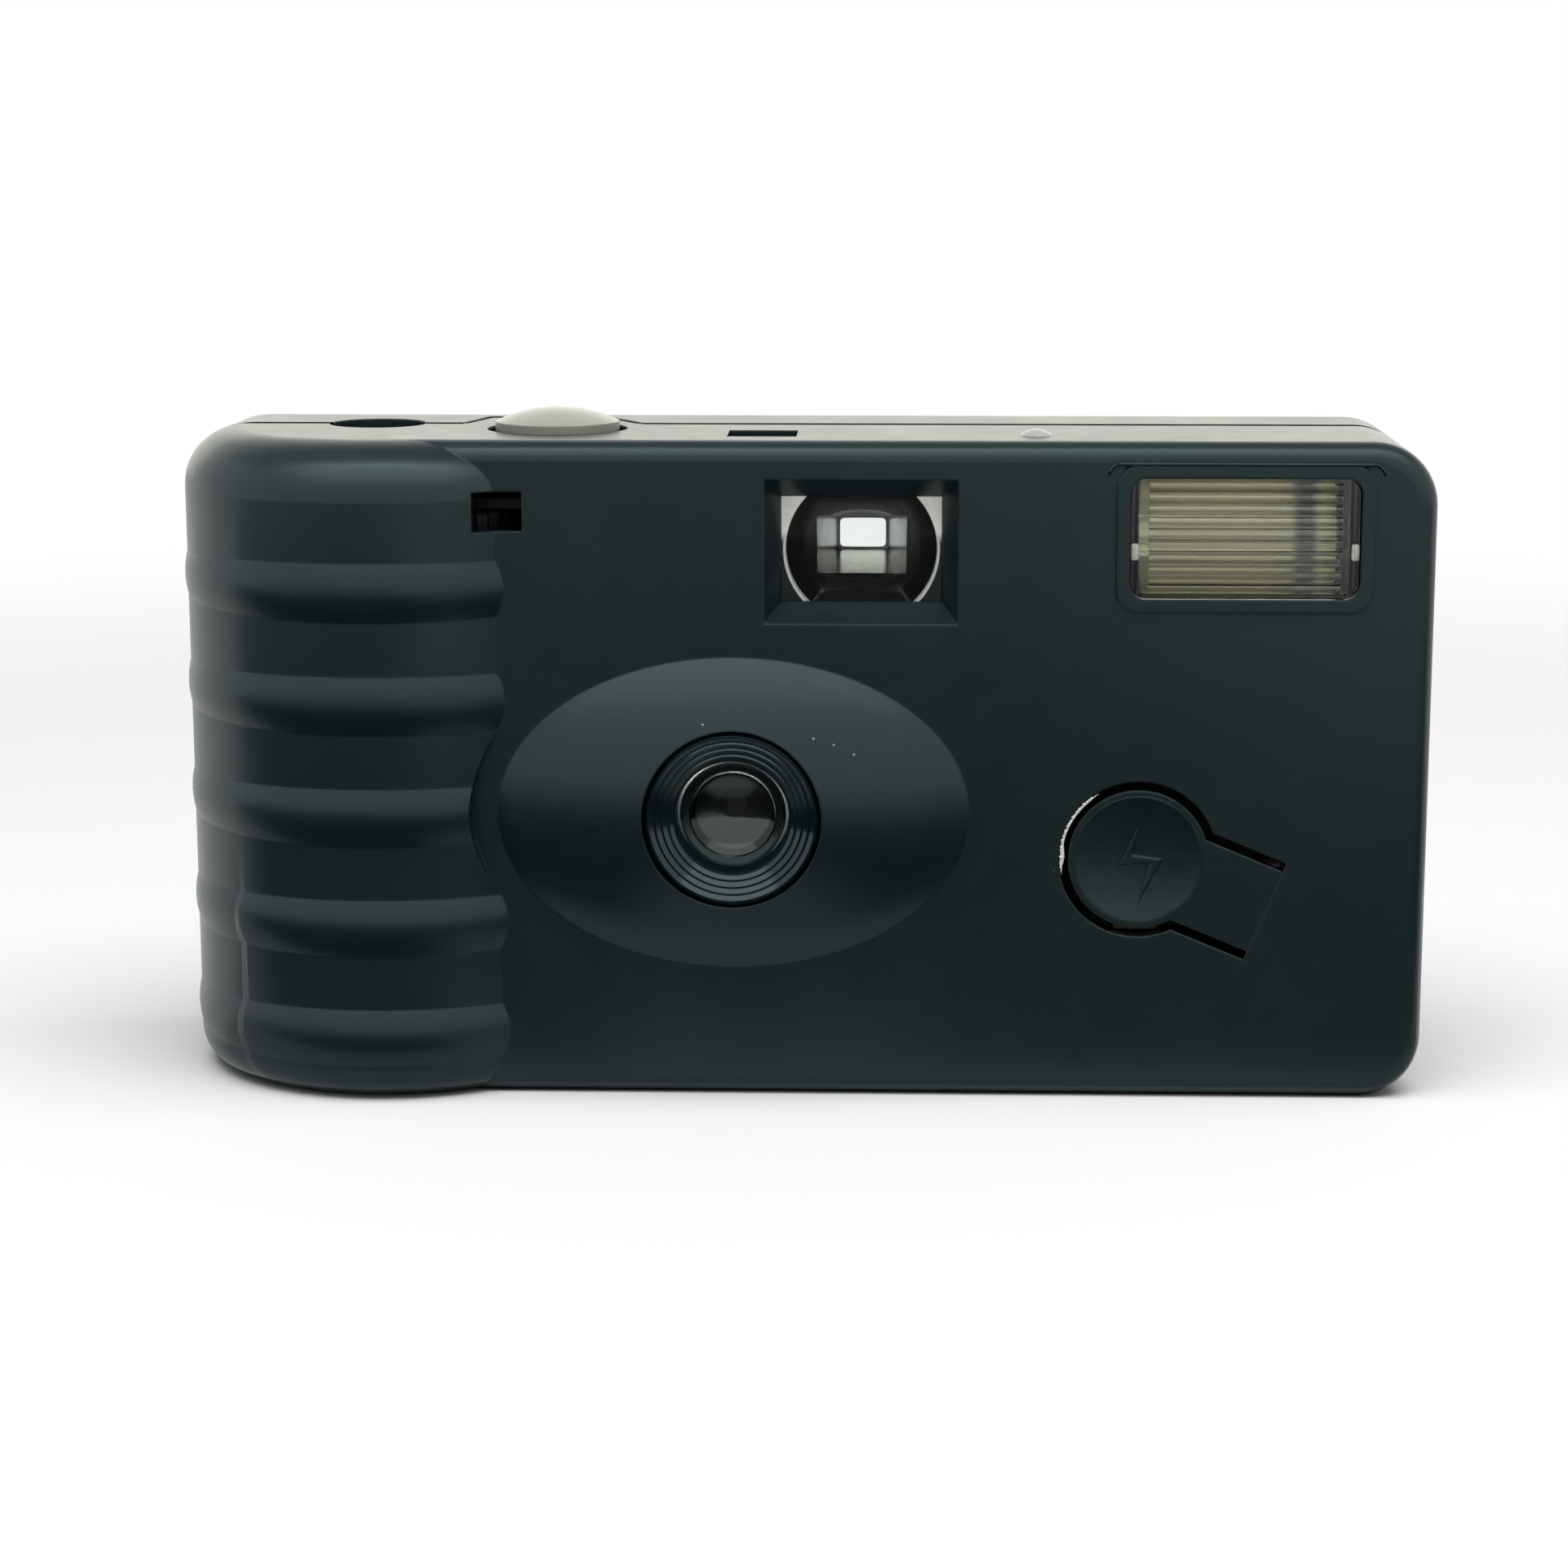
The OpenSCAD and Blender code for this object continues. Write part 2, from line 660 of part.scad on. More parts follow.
module main_chassis() {
    shelf_x0 = sprocket_x - 6;
    mouth_y = cart_y + 7.5;
    web = 2;
    light_r = 2.2;
    trough_x0 = battery_x - 2;
    trough_x1 = battery_x + battery_l + 2 * contact_t + 0.5;
    trough_y = battery_y + battery_r + run_gap;
    rib_half = 6;
    wall_z = battery_z + battery_r + 0.5;
    wall_top = lens_z + 17;
    color(inner_black) placed() difference() {
        union() {
            // Cartridge chamber and its roof, open at the back
            intersection() {
                pin_z(cart_x, cart_y, chamber_r + plate_t, 2 * wall, chamber_top);
                box([-big, -big, 0], [big, mouth_y, body_h]);
            }
            box([cart_x + chamber_r - web, mouth_y - web, gate_z],
                [cart_x + chamber_r + web, gate_y, gate_top]);
            // Supply chamber
            pin_z(supply_x, supply_y, supply_r + supply_wall, floor_z, supply_top + 1);
            // Gate plate from chamber to chamber
            box([lip_x + fit, gate_y - gate_t, gate_z], [supply_x, gate_y, gate_top]);
            tunnel_form();
            // Shutter wall, with stand-offs and the blade's pin
            box([lens_x - holder_half, shutter_y, wall_z],
                [lens_x + holder_half, shutter_y + plate_t, wall_top]);
            for (sx = [-1, 1], z = [lens_z - 8.5, lens_z + 9.5])
                pin_y(lens_x + sx * (holder_half - 2), z, pin_r, holder_y + holder_t, shutter_y + eps);
            pin_y(blade_x, blade_z, post_r, holder_y + holder_t, shutter_y + eps);
            // Shelf of the winding works
            box([shelf_x0, shutter_y, shelf_z], [works_x, gate_y, shelf_top]);
            box([lens_x - holder_half, shutter_y, wall_top - 1], [works_x, shutter_y + plate_t, shelf_top]);
            box([shelf_x0, gate_y - gate_t, film_top], [works_x, gate_y, shelf_top]);
            for (p = [[striker_x, striker_y], [meter_x, meter_y], [pawl_x, pawl_y]])
                pin_z(p[0], p[1], post_r, shelf_top - eps, deck_z);
            // Floor and battery trough
            box([cart_x + chamber_r, floor_z, floor_z], [right_x - corner_r, inner_back - fit, floor_top]);
            box([trough_x0, floor_z, floor_z],
                [battery_x - contact_t - 0.5, trough_y + plate_t, trough_top]);
            box([trough_x1, floor_z, floor_z], [trough_x1 + plate_t, trough_y + plate_t, trough_top]);
            box([trough_x0, trough_y, floor_z], [trough_x1 + plate_t, trough_y + plate_t, roof_top]);
            box([lens_x - holder_half, shutter_y, trough_top],
                [lens_x + holder_half, trough_y + plate_t, roof_top]);
            box([lens_x - rib_half, trough_y, trough_top], [lens_x + rib_half, gate_y, roof_top]);
        }
        tunnel_room();
        box([-big, inner_back - fit, -big], [big, big, big]);
        pin_y(lens_x, lens_z, light_r, shutter_y - 1, shutter_y + plate_t + 1);
        // Cartridge, its spool and the way out for the film
        pin_z(cart_x, cart_y, chamber_r, -1, cart_top + run_gap);
        pin_z(cart_x, cart_y, boss_r + 0.6, cart_top, big);
        // Film roll and the supply spool's pins
        pin_z(supply_x, supply_y, supply_r, film_z - 0.7, supply_top);
        pin_z(supply_x, supply_y, pin_r + pin_gap, film_z - 1.8, big);
        box([supply_x - supply_r - web, gate_y - 1, film_z - 0.7],
            [supply_x + supply_r + web, big, supply_top]);
        // Sprocket
        pin_z(sprocket_x, sprocket_y, sprocket_r + run_gap, drum_z - 0.1, drum_z + drum_t + run_gap);
        pin_z(sprocket_x, sprocket_y, pin_r + pin_gap, drum_z - plate_t + 0.2, drum_z);
        pin_z(sprocket_x, sprocket_y, shaft_r + pin_gap, drum_z, shelf_top + 1);
    }
}

module mechanism_deck() {
    deck_x0 = cart_x - 6.5;
    deck_y0 = 6.5;
    deck_y1 = inner_back - 2.3;
    color(inner_black) placed() difference() {
        union() {
            box([deck_x0, deck_y0, deck_z], [works_x, deck_y1, deck_top]);
            pin_z(dial_x, dial_y, pin_r, deck_top - eps, dial_z + dial_t + 0.3);
            for (y = [shutter_y + 2.5, deck_y1 - pin_r])
                pin_z(works_x - pin_r, y, pin_r, shelf_top, deck_z + eps);
        }
        pin_z(cart_x, cart_y, hub_r + pin_gap, 0, big);
        pin_z(sprocket_x, sprocket_y, shaft_r + pin_gap, 0, big);
        pin_z(stem_x, stem_y, stem_r + run_gap, 0, big);
    }
}

module film_door() {
    notch_r = 2.4;
    notch = 0.8;
    notch_w = 10;
    color(body_black) placed() difference() {
        rise(0, wall) door_outline(0);
        // Finger notch at the front edge
        pin_x(cart_y - door_r, notch - notch_r, notch_r, cart_x - notch_w / 2, cart_x + notch_w / 2);
    }
}

module flash_charge_tab() {
    dish = 0.5;
    dish_rim = 0.45;
    dish_r = (pow(tab_d / 2 - dish_rim, 2) + pow(dish, 2)) / (2 * dish);
    color(body_black) placed() difference() {
        slab(0, tab_t) tab_outline(0);
        // Dished face of the disc
        translate([tab_x, dish - dish_r, tab_z]) sphere(dish_r, $fn = 96);
    }
}

module shutter_button() {
    crown = 1.3;
    crown_r = (pow(button_d / 2, 2) + pow(crown, 2)) / (2 * crown);
    color(button_grey) placed() union() {
        translate([button_x, button_y, 0]) {
            translate([0, 0, flange_top - flange_t])
                cylinder(r = button_d / 2 + button_flange, h = flange_t);
            intersection() {
                translate([0, 0, flange_top - eps]) cylinder(d = button_d, h = big);
                translate([0, 0, body_h + button_h - crown_r]) sphere(crown_r, $fn = 128);
            }
        }
        pin_z(stem_x, stem_y, stem_r, stem_end, flange_top - eps);
    }
}

module button_spring() {
    color(steel) placed() difference() {
        pin_z(stem_x, stem_y, stem_r + 1, deck_top, flange_top - flange_t);
        pin_z(stem_x, stem_y, stem_r + 0.4, 0, big);
    }
}

module lens_ring() {
    rim = ring_r - 0.3;
    grooves = 4;
    pitch = 0.6;
    sink = 0.22;
    open_r = ring_open_d / 2;
    flat_y = ring_front + grooves * sink;
    color(gloss_black) placed() turned(lens_x, lens_z) polygon(concat(
        [[ring_r, 3], [ring_r, ring_front + 0.3], [rim, ring_front]],
        [for (i = [0 : grooves - 1], s = [0, 1])
            s == 0 ? [rim - i * pitch - 0.18, ring_front + i * sink]
                : [rim - (i + 1) * pitch, ring_front + (i + 1) * sink + 0.12]],
        [[rim - grooves * pitch - 0.1, flat_y], [open_r + 0.5, lens_front - 1], [open_r, lens_front - 0.9],
            [open_r, lens_front - fit], [barrel_r + 0.1, lens_front - fit], [barrel_r + 0.1, 3]]));
}

module taking_lens() {
    r = lens_d / 2 - pin_gap;
    bulge = 0.9;
    hollow = 0.5;
    hollow_r = 14;
    clear_r = ring_open_d / 2 - fit;
    bulge_r = (pow(clear_r, 2) + pow(bulge, 2)) / (2 * bulge);
    color(clear) placed() difference() {
        union() {
            pin_y(lens_x, lens_z, r, lens_front, lens_front + lens_t);
            intersection() {
                pin_y(lens_x, lens_z, clear_r, -big, lens_front + lens_t / 2);
                translate([lens_x, lens_front - bulge + bulge_r, lens_z]) sphere(bulge_r, $fn = 96);
            }
        }
        translate([lens_x, lens_front + lens_t - hollow + hollow_r, lens_z]) sphere(hollow_r, $fn = 96);
    }
}

module lens_holder() {
    color(inner_black) placed() difference() {
        union() {
            translate([lens_x, 0, lens_z + 0.5]) slab(holder_y, holder_y + holder_t)
                rounded(2 * holder_half, holder_tall, 2);
            pin_y(lens_x, lens_z, barrel_r, lens_front + fit, holder_y + eps);
        }
        pin_y(lens_x, lens_z, lens_d / 2, -1, lens_front + lens_t);
        pin_y(lens_x, lens_z, lens_d / 2 - 1, 0, holder_y + holder_t / 2);
        pin_y(lens_x, lens_z, aperture_d / 2, 0, big);
    }
}

module shutter_blade() {
    color(steel * 0.4) placed() difference() {
        slab(blade_y, blade_y + blade_t) {
            bar([blade_x, blade_z], [lens_x, lens_z], blade_w);
            translate([lens_x, lens_z]) circle(4);
            translate([blade_x, blade_z]) circle(2.4);
            translate([blade_x - tail_w / 2, blade_z]) square([tail_w, tail_top - blade_z]);
        }
        pin_y(blade_x, blade_z, post_r + pin_gap, 0, big);
    }
}

module shutter_spring() {
    color(steel) placed() difference() {
        pin_y(blade_x, blade_z, 1.7, holder_y + holder_t + 0.05, blade_y - 0.05);
        pin_y(blade_x, blade_z, post_r + 0.1, 0, big);
    }
}

module striker_lever() {
    tip = blade_x + tail_w / 2 + run_gap;
    color(steel) placed() difference() {
        rise(striker_z, striker_z + lever_t) {
            translate([striker_x, striker_y]) circle(2.4);
            polygon([[tip, blade_y - 0.8], [tip + 1.4, blade_y - 0.8], [striker_x + 2, striker_y],
                [striker_x - 2, striker_y], [tip, blade_y + 2.5]]);
            bar([striker_x, striker_y], [striker_x - 2.4, striker_y + 3], 1.8);
        }
        pin_z(striker_x, striker_y, post_r + pin_gap, 0, big);
    }
}

module striker_spring() {
    color(steel) placed() difference() {
        pin_z(striker_x, striker_y, 2.2, meter_z, meter_z + 2.6);
        pin_z(striker_x, striker_y, post_r + 0.2, 0, big);
    }
}

module metering_lever() {
    arm_w = 1.4;
    nose_w = 1.2;
    cam = [sprocket_x, sprocket_y];
    away = [meter_x, meter_y] - cam;
    nose = cam + (cam_r + run_gap + nose_w / 2) * away / norm(away);
    hook_a = 30;
    hook = [cart_x, cart_y] + (wheel_r + run_gap + arm_w / 2) * [cos(hook_a), sin(hook_a)];
    back = [hook[0] + 1.5, meter_y + 1.7];
    color(steel) placed() difference() {
        rise(meter_z, meter_z + lever_t) {
            translate([meter_x, meter_y]) circle(eye_r);
            bar([meter_x, meter_y], nose, nose_w);
            bar([meter_x, meter_y], back, arm_w);
            bar(back, hook, arm_w);
        }
        pin_z(meter_x, meter_y, post_r + pin_gap, 0, big);
    }
}

module wind_pawl() {
    aim = atan2(pawl_y - 3 - cart_y, pawl_x - 6 - cart_x);
    tip = [cart_x, cart_y] + (wheel_r + run_gap + 0.5) * [cos(aim), sin(aim)];
    color(inner_black) placed() difference() {
        rise(meter_z, meter_z + lever_t) {
            translate([pawl_x, pawl_y]) circle(eye_r);
            bar([pawl_x, pawl_y], tip, 1);
        }
        pin_z(pawl_x, pawl_y, post_r + pin_gap, 0, big);
    }
}

module thumb_wheel() {
    color(inner_black) placed() translate([cart_x, cart_y, 0]) {
        difference() {
            rise(wheel_z, wheel_top) polygon([for (i = [0 : 2 * wheel_teeth - 1])
                (wheel_r - (i % 2) * knurl) * [cos(i * 180 / wheel_teeth), sin(i * 180 / wheel_teeth)]]);
            translate([0, 0, wheel_z - 1]) cylinder(r = boss_r + 0.4, h = boss_top + fit - wheel_z + 1);
        }
        translate([0, 0, wheel_top - eps]) cylinder(r = hub_r, h = deck_top - wheel_top + eps);
        rise(boss_top - 2, boss_top + fit + eps) square([key_l, key_w], center = true);
    }
}

module cartridge_shell() {
    skin = 0.4;
    root_x = cart_x + sqrt(pow(cart_r, 2) - pow(film_y - cart_y, 2)) - 1;
    color(steel * 0.8) placed() difference() {
        union() {
            pin_z(cart_x, cart_y, cart_r, cart_z, cart_top);
            box([root_x, film_y - 0.6, cart_z + 1], [lip_x, film_y + film_t + 0.6, cart_top - 1]);
        }
        pin_z(cart_x, cart_y, cart_r - skin, cart_z + skin, cart_top - skin);
        pin_z(cart_x, cart_y, boss_r + 0.3, 0, big);
        box([root_x - 2, film_y - fit, film_z - 0.5], [lip_x + 1, film_y + film_t + fit, film_top + 0.5]);
    }
}

module cartridge_spool() {
    color(inner_black) placed() translate([cart_x, cart_y, 0]) difference() {
        union() {
            translate([0, 0, cart_z - 0.8]) cylinder(r = boss_r, h = boss_top - cart_z + 0.8);
            for (z = [cart_z + 1, cart_top - 1.8]) translate([0, 0, z]) cylinder(r = cart_r - 1, h = 0.8);
        }
        rise(boss_top - 2 - fit, big) square([key_l + 2 * fit, key_w + 2 * fit], center = true);
    }
}

module film_strip() {
    x0 = lip_x - 1.6;
    holes = floor((supply_x - x0) / perf_pitch);
    color([0.25, 0.2, 0.16]) placed() difference() {
        box([x0, film_y, film_z], [supply_x, film_y + film_t, film_top]);
        for (i = [0 : holes - 1], z = [film_z + perf_inset, film_top - perf_inset - perf_tall])
            translate([x0 + (i + 0.3) * perf_pitch, film_y - 1, z]) cube([perf_w, 2, perf_tall]);
    }
}

module film_roll() {
    color([0.25, 0.2, 0.16]) placed() difference() {
        pin_z(supply_x, supply_y, roll_r, film_z, film_top);
        pin_z(supply_x, supply_y, spool_r + pin_gap, 0, big);
    }
}

module supply_spool() {
    color(inner_black) placed() union() {
        pin_z(supply_x, supply_y, spool_r, film_z - 0.5, film_top + fit);
        pin_z(supply_x, supply_y, roll_r - 0.2, film_z - 0.5, film_z - 0.1);
        pin_z(supply_x, supply_y, pin_r, film_z - 1.6, supply_top + 0.9);
    }
}

module sprocket() {
    tooth = 1.3;
    row_z = film_top - perf_inset - perf_tall / 2;
    color(inner_black) placed() translate([sprocket_x, sprocket_y, 0]) {
        translate([0, 0, drum_z]) cylinder(r = sprocket_r - 0.7, h = drum_t);
        for (i = [0 : 7]) rotate(i * 45 + 22.5) rise(row_z - tooth / 2, row_z + tooth / 2)
            polygon([[spool_r, -0.8], [sprocket_r, -0.4], [sprocket_r, 0.4], [spool_r, 0.8]]);
        translate([0, 0, drum_z - plate_t + 0.4]) cylinder(r = pin_r, h = plate_t);
        translate([0, 0, drum_z]) cylinder(r = shaft_r, h = dial_z + dial_t - drum_z);
        // Cam with the notch that the metering lever drops into
        difference() {
            translate([0, 0, meter_z - 0.1]) cylinder(r = cam_r, h = lever_t + 0.2);
            rotate(200) rise(meter_z - 1, meter_z + lever_t + 1)
                polygon([[cam_r - 1, -0.8], [cam_r + 1, -1.4], [cam_r + 1, 1.4], [cam_r - 1, 0.8]]);
        }
        // Finger that moves the counter on by one tooth a turn
        rotate(90) rise(dial_z + fit, dial_z + dial_t) {
            circle(shaft_r + 0.8);
            polygon([[0, -1.4], [finger_r, -0.4], [finger_r, 0.4], [0, 1.4]]);
        }
    }
}

module counter_dial() {
    teeth = 30;
    color(gloss_black) placed() translate([dial_x, dial_y, 0]) difference() {
        rise(dial_z, dial_z + dial_t) polygon([for (i = [0 : teeth - 1], s = [0, 1])
            (dial_r - s * knurl) * [cos((i + s * 0.8) * 360 / teeth), sin((i + s * 0.8) * 360 / teeth)]]);
        cylinder(r = pin_r + pin_gap, h = big);
    }
}

module finder_front_lens() {
    w = finder_w - 2 * finder_slope_x + 1;
    h = finder_tall - 2 * finder_slope_z + 1;
    back_y = finder_depth + 2.5;
    round_r = 6.9;
    hollow = 2.05;
    hollow_r = (pow(round_r, 2) + pow(hollow, 2)) / (2 * hollow);
    color(clear) placed() difference() {
        translate([finder_x, 0, finder_z]) slab(finder_depth + 0.1, back_y) square([w, h], center = true);
        translate([finder_x, back_y - hollow + hollow_r, finder_z]) sphere(hollow_r, $fn = 96);
    }
}

module finder_eye_lens() {
    bulge_r = 14;
    y0 = inner_back - 2;
    color(clear) placed() intersection() {
        translate([finder_x, 0, finder_z]) slab(y0 - 1, inner_back - 0.1)
            square([eyepiece_w + 1, eyepiece_tall + 0.8], center = true);
        translate([finder_x, y0 + bulge_r, finder_z]) sphere(bulge_r, $fn = 96);
    }
}

module finder_frame() {
    front_w = finder_w - 2 * finder_slope_x + 1 + 2 * pin_gap;
    front_h = finder_tall - 2 * finder_slope_z + 1 + 2 * pin_gap;
    rear_w = eyepiece_w + 1 + 2 * pin_gap;
    rear_h = eyepiece_tall + 0.8 + 2 * pin_gap;
    y0 = finder_depth + 0.1;
    y1 = y0 + 4.4;
    skin = 0.9;
    color(inner_black) placed() translate([finder_x, 0, finder_z]) difference() {
        union() {
            slab(y0, y1) square([front_w + 2 * skin, front_h + 2 * skin], center = true);
            slab(y1 - eps, inner_back - 0.1) square([rear_w + 2 * skin, rear_h + 2 * skin], center = true);
        }
        slab(y0 - 1, y1 - skin) square([front_w, front_h], center = true);
        slab(y0, inner_back) square([rear_w, rear_h], center = true);
    }
}

module flash_window() {
    core_w = flash_w - 0.2;
    core_h = flash_tall - 0.2;
    lens_w = core_w - 3.2;
    pitch = (core_h - 0.6) / flash_ribs;
    color(clear) placed() translate([flash_x, 0, flash_z]) {
        slab(0.3, wall + eps) rounded(core_w, core_h, wall - 0.1);
        slab(wall, window_back) rounded(core_w + 2 * window_flange, core_h + 2 * window_flange, wall);
        for (i = [0 : flash_ribs - 1])
            pin_x(0.35, (i + 0.5 - flash_ribs / 2) * pitch, pitch * 0.42, -lens_w / 2, lens_w / 2);
    }
}

module flash_reflector() {
    skin = 0.3;
    half = flash_w / 2 - 0.5;
    color(steel) placed() translate([flash_x, 0, flash_z]) difference() {
        run_x(-half, half) {
            translate([reflector_y, 0]) circle(reflector_r + skin);
            translate([window_back, -reflector_r - skin])
                square([reflector_y - window_back, 2 * (reflector_r + skin)]);
        }
        run_x(-half + skin, half - skin) {
            translate([reflector_y, 0]) circle(reflector_r);
            translate([window_back - 1, -reflector_r])
                square([reflector_y - window_back + 1, 2 * reflector_r]);
        }
        run_x(-big, big) translate([window_back - big, -big / 2]) square(big);
        pin_x(tube_y, 0, tube_r + 0.1, -big, big);
    }
}

module flash_tube() {
    half = flash_w / 2 + 1.6;
    wire_r = 0.4;
    lead = 1.5;
    color(clear) placed() translate([flash_x, 0, flash_z]) union() {
        pin_x(tube_y, 0, tube_r, -half, half);
        pin_x(tube_y, 0, wire_r, -half - lead, half + lead);
    }
}

module circuit_board() {
    ear = 2.2;
    color([0.55, 0.42, 0.2]) placed() union() {
        box([board_x, board_y, board_z], [board_x + board_w, board_back, board_top]);
        box([ready_x - ear, board_y, board_top - 8], [board_x + eps, board_back, lamp_top]);
    }
}

module main_capacitor() {
    r = 6.2;
    h = 24;
    crimp = 0.6;
    color([0.12, 0.12, 0.16]) placed() translate([coil_x, board_back + r, floor_top + 0.1]) difference() {
        cylinder(r = r, h = h);
        // Crimp ring near one end
        translate([0, 0, h - 3]) rotate_extrude() translate([r + crimp / 2, 0]) circle(crimp);
    }
}

module transformer() {
    w = 10;
    h = 9;
    d = 9;
    cheek = 1.2;
    coil_r = 4.2;
    color([0.75, 0.6, 0.25]) placed() translate([coil_x, board_back, floor_top + 26]) union() {
        translate([-w / 2, 0, 0]) cube([w, cheek, h]);
        translate([-w / 2, d - cheek, 0]) cube([w, cheek, h]);
        pin_y(0, h / 2, coil_r, cheek - eps, d - cheek + eps);
    }
}

module trigger_coil() {
    r = 2.5;
    l = 9;
    color([0.5, 0.2, 0.1]) placed()
        pin_x(board_back + r, board_top - r - 0.6, r, coil_x - 5, coil_x - 5 + l);
}

module power_transistor() {
    w = 4.4;
    d = 3.6;
    h = 4.6;
    round_r = 3;
    color([0.1, 0.1, 0.1]) placed() translate([coil_x - 5.2 - w, board_back, floor_top + 27])
        intersection() {
            cube([w, d, h]);
            translate([w / 2, d - round_r, -1]) cylinder(r = round_r, h = h + 2);
        }
}

module board_resistors() {
    r = 0.9;
    l = 6;
    color([0.76, 0.66, 0.5]) placed() for (i = [0 : 2])
        pin_x(board_y - r, board_z + (i + 1) * 3, r, board_x + 17, board_x + 17 + l);
}

module ready_lamp() {
    tip = inner_top - 3.4;
    color([0.9, 0.75, 0.6]) placed() union() {
        pin_z(ready_x, ready_y, lamp_r, lamp_top + 0.1, tip);
        translate([ready_x, ready_y, tip]) sphere(lamp_r);
    }
}

module ready_light() {
    crown = 0.6;
    r = ready_d / 2;
    flange = 0.8;
    foot = inner_top - 1.5;
    crown_r = (r * r + crown * crown) / (2 * crown);
    color(clear) placed() union() {
        pin_z(ready_x, ready_y, r, foot, body_h);
        pin_z(ready_x, ready_y, r + flange, foot, inner_top - 0.1);
        intersection() {
            translate([ready_x, ready_y, body_h + crown - crown_r]) sphere(crown_r);
            pin_z(ready_x, ready_y, r, body_h - eps, big);
        }
    }
}

module charge_contact() {
    tab_swing = 6;
    reach = tongue_len * sin(tab_swing);
    leaf_y = tab_t + reach + 0.35;
    half = 2;
    foot = board_z;
    color(brass) placed() union() {
        box([tab_x - half, leaf_y, foot], [tab_x + half, leaf_y + contact_t, tab_z + 3]);
        box([tab_x - half, leaf_y, foot], [tab_x + half, board_y, foot + half]);
    }
}

module sync_contact() {
    x = lens_x + 9.4;
    foot = lens_z - 6;
    pad = 4;
    color(brass) placed() union() {
        box([x, blade_y - run_gap, foot], [x + contact_t, shutter_y, foot + 11]);
        box([x, shutter_y - contact_t, foot], [x + pad, shutter_y, foot + pad]);
    }
}

module battery() {
    nub = 1;
    nub_r = 1.9;
    color([0.75, 0.62, 0.3]) placed() union() {
        pin_x(battery_y, battery_z, battery_r, battery_x, battery_x + battery_l - nub);
        pin_x(battery_y, battery_z, nub_r, battery_x, battery_x + battery_l);
    }
}

// Flat leaf across an end of the battery
module contact_leaf(x) {
    half = 3;
    box([x, battery_y - half, floor_top], [x + contact_t, battery_y + half, battery_z + 4]);
}

module battery_plus_contact() {
    color(steel) placed() contact_leaf(battery_x + battery_l + 0.1);
}

module battery_minus_contact() {
    color(steel) placed() contact_leaf(battery_x - contact_t - 0.1);
}

front_cover();
back_cover();
main_chassis();
mechanism_deck();
film_door();
flash_charge_tab();
shutter_button();
button_spring();
lens_ring();
taking_lens();
lens_holder();
shutter_blade();
shutter_spring();
striker_lever();
striker_spring();
metering_lever();
wind_pawl();
thumb_wheel();
cartridge_shell();
cartridge_spool();
film_strip();
film_roll();
supply_spool();
sprocket();
counter_dial();
finder_front_lens();
finder_eye_lens();
finder_frame();
flash_window();
flash_reflector();
flash_tube();
circuit_board();
main_capacitor();
transformer();
trigger_coil();
power_transistor();
board_resistors();
ready_lamp();
ready_light();
charge_contact();
sync_contact();
battery();
battery_plus_contact();
battery_minus_contact();
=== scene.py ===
"""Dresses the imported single-use film camera and sets it in a plain pale studio."""

from __future__ import annotations

import json
import logging
import math
from dataclasses import dataclass
from enum import Enum
from typing import Any, Mapping, Sequence, Union

import bmesh
import bpy
import numpy as np
from mathutils import Matrix, Vector

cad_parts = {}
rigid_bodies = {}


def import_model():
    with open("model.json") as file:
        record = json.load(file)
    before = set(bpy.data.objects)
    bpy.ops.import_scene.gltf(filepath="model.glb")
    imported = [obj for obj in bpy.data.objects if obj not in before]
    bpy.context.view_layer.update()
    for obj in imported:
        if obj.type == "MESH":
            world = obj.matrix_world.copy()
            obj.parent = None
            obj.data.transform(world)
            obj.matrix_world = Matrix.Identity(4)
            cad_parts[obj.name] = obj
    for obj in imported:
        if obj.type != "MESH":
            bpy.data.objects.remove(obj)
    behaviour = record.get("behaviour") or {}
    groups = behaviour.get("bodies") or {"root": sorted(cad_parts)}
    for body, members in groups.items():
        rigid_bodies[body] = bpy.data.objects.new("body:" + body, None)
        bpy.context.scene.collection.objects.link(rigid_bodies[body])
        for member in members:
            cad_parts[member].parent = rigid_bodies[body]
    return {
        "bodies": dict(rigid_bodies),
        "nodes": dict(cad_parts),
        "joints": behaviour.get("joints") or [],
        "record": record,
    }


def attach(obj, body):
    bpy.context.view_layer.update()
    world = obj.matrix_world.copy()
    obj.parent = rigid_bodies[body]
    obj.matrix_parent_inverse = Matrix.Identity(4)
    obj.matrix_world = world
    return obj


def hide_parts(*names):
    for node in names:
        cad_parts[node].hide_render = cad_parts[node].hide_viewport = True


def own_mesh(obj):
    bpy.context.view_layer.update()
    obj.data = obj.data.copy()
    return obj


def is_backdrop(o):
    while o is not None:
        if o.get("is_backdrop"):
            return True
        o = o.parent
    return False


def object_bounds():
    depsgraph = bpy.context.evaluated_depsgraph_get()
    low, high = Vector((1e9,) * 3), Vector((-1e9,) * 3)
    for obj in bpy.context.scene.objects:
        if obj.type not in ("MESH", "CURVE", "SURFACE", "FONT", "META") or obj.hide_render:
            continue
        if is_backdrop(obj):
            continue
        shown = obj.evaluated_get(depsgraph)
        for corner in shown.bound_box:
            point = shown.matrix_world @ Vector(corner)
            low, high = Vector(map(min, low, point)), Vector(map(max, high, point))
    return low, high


log = logging.getLogger("film_camera")

MM = 0.001
# Depth of the flat front face in the part's frame, in millimetres
FACE_Y = -11.85

RGB = tuple[float, float, float]
# Places in x and z
Places = tuple[tuple[float, float], ...]
Value = Union["Field", float, Sequence[float]]


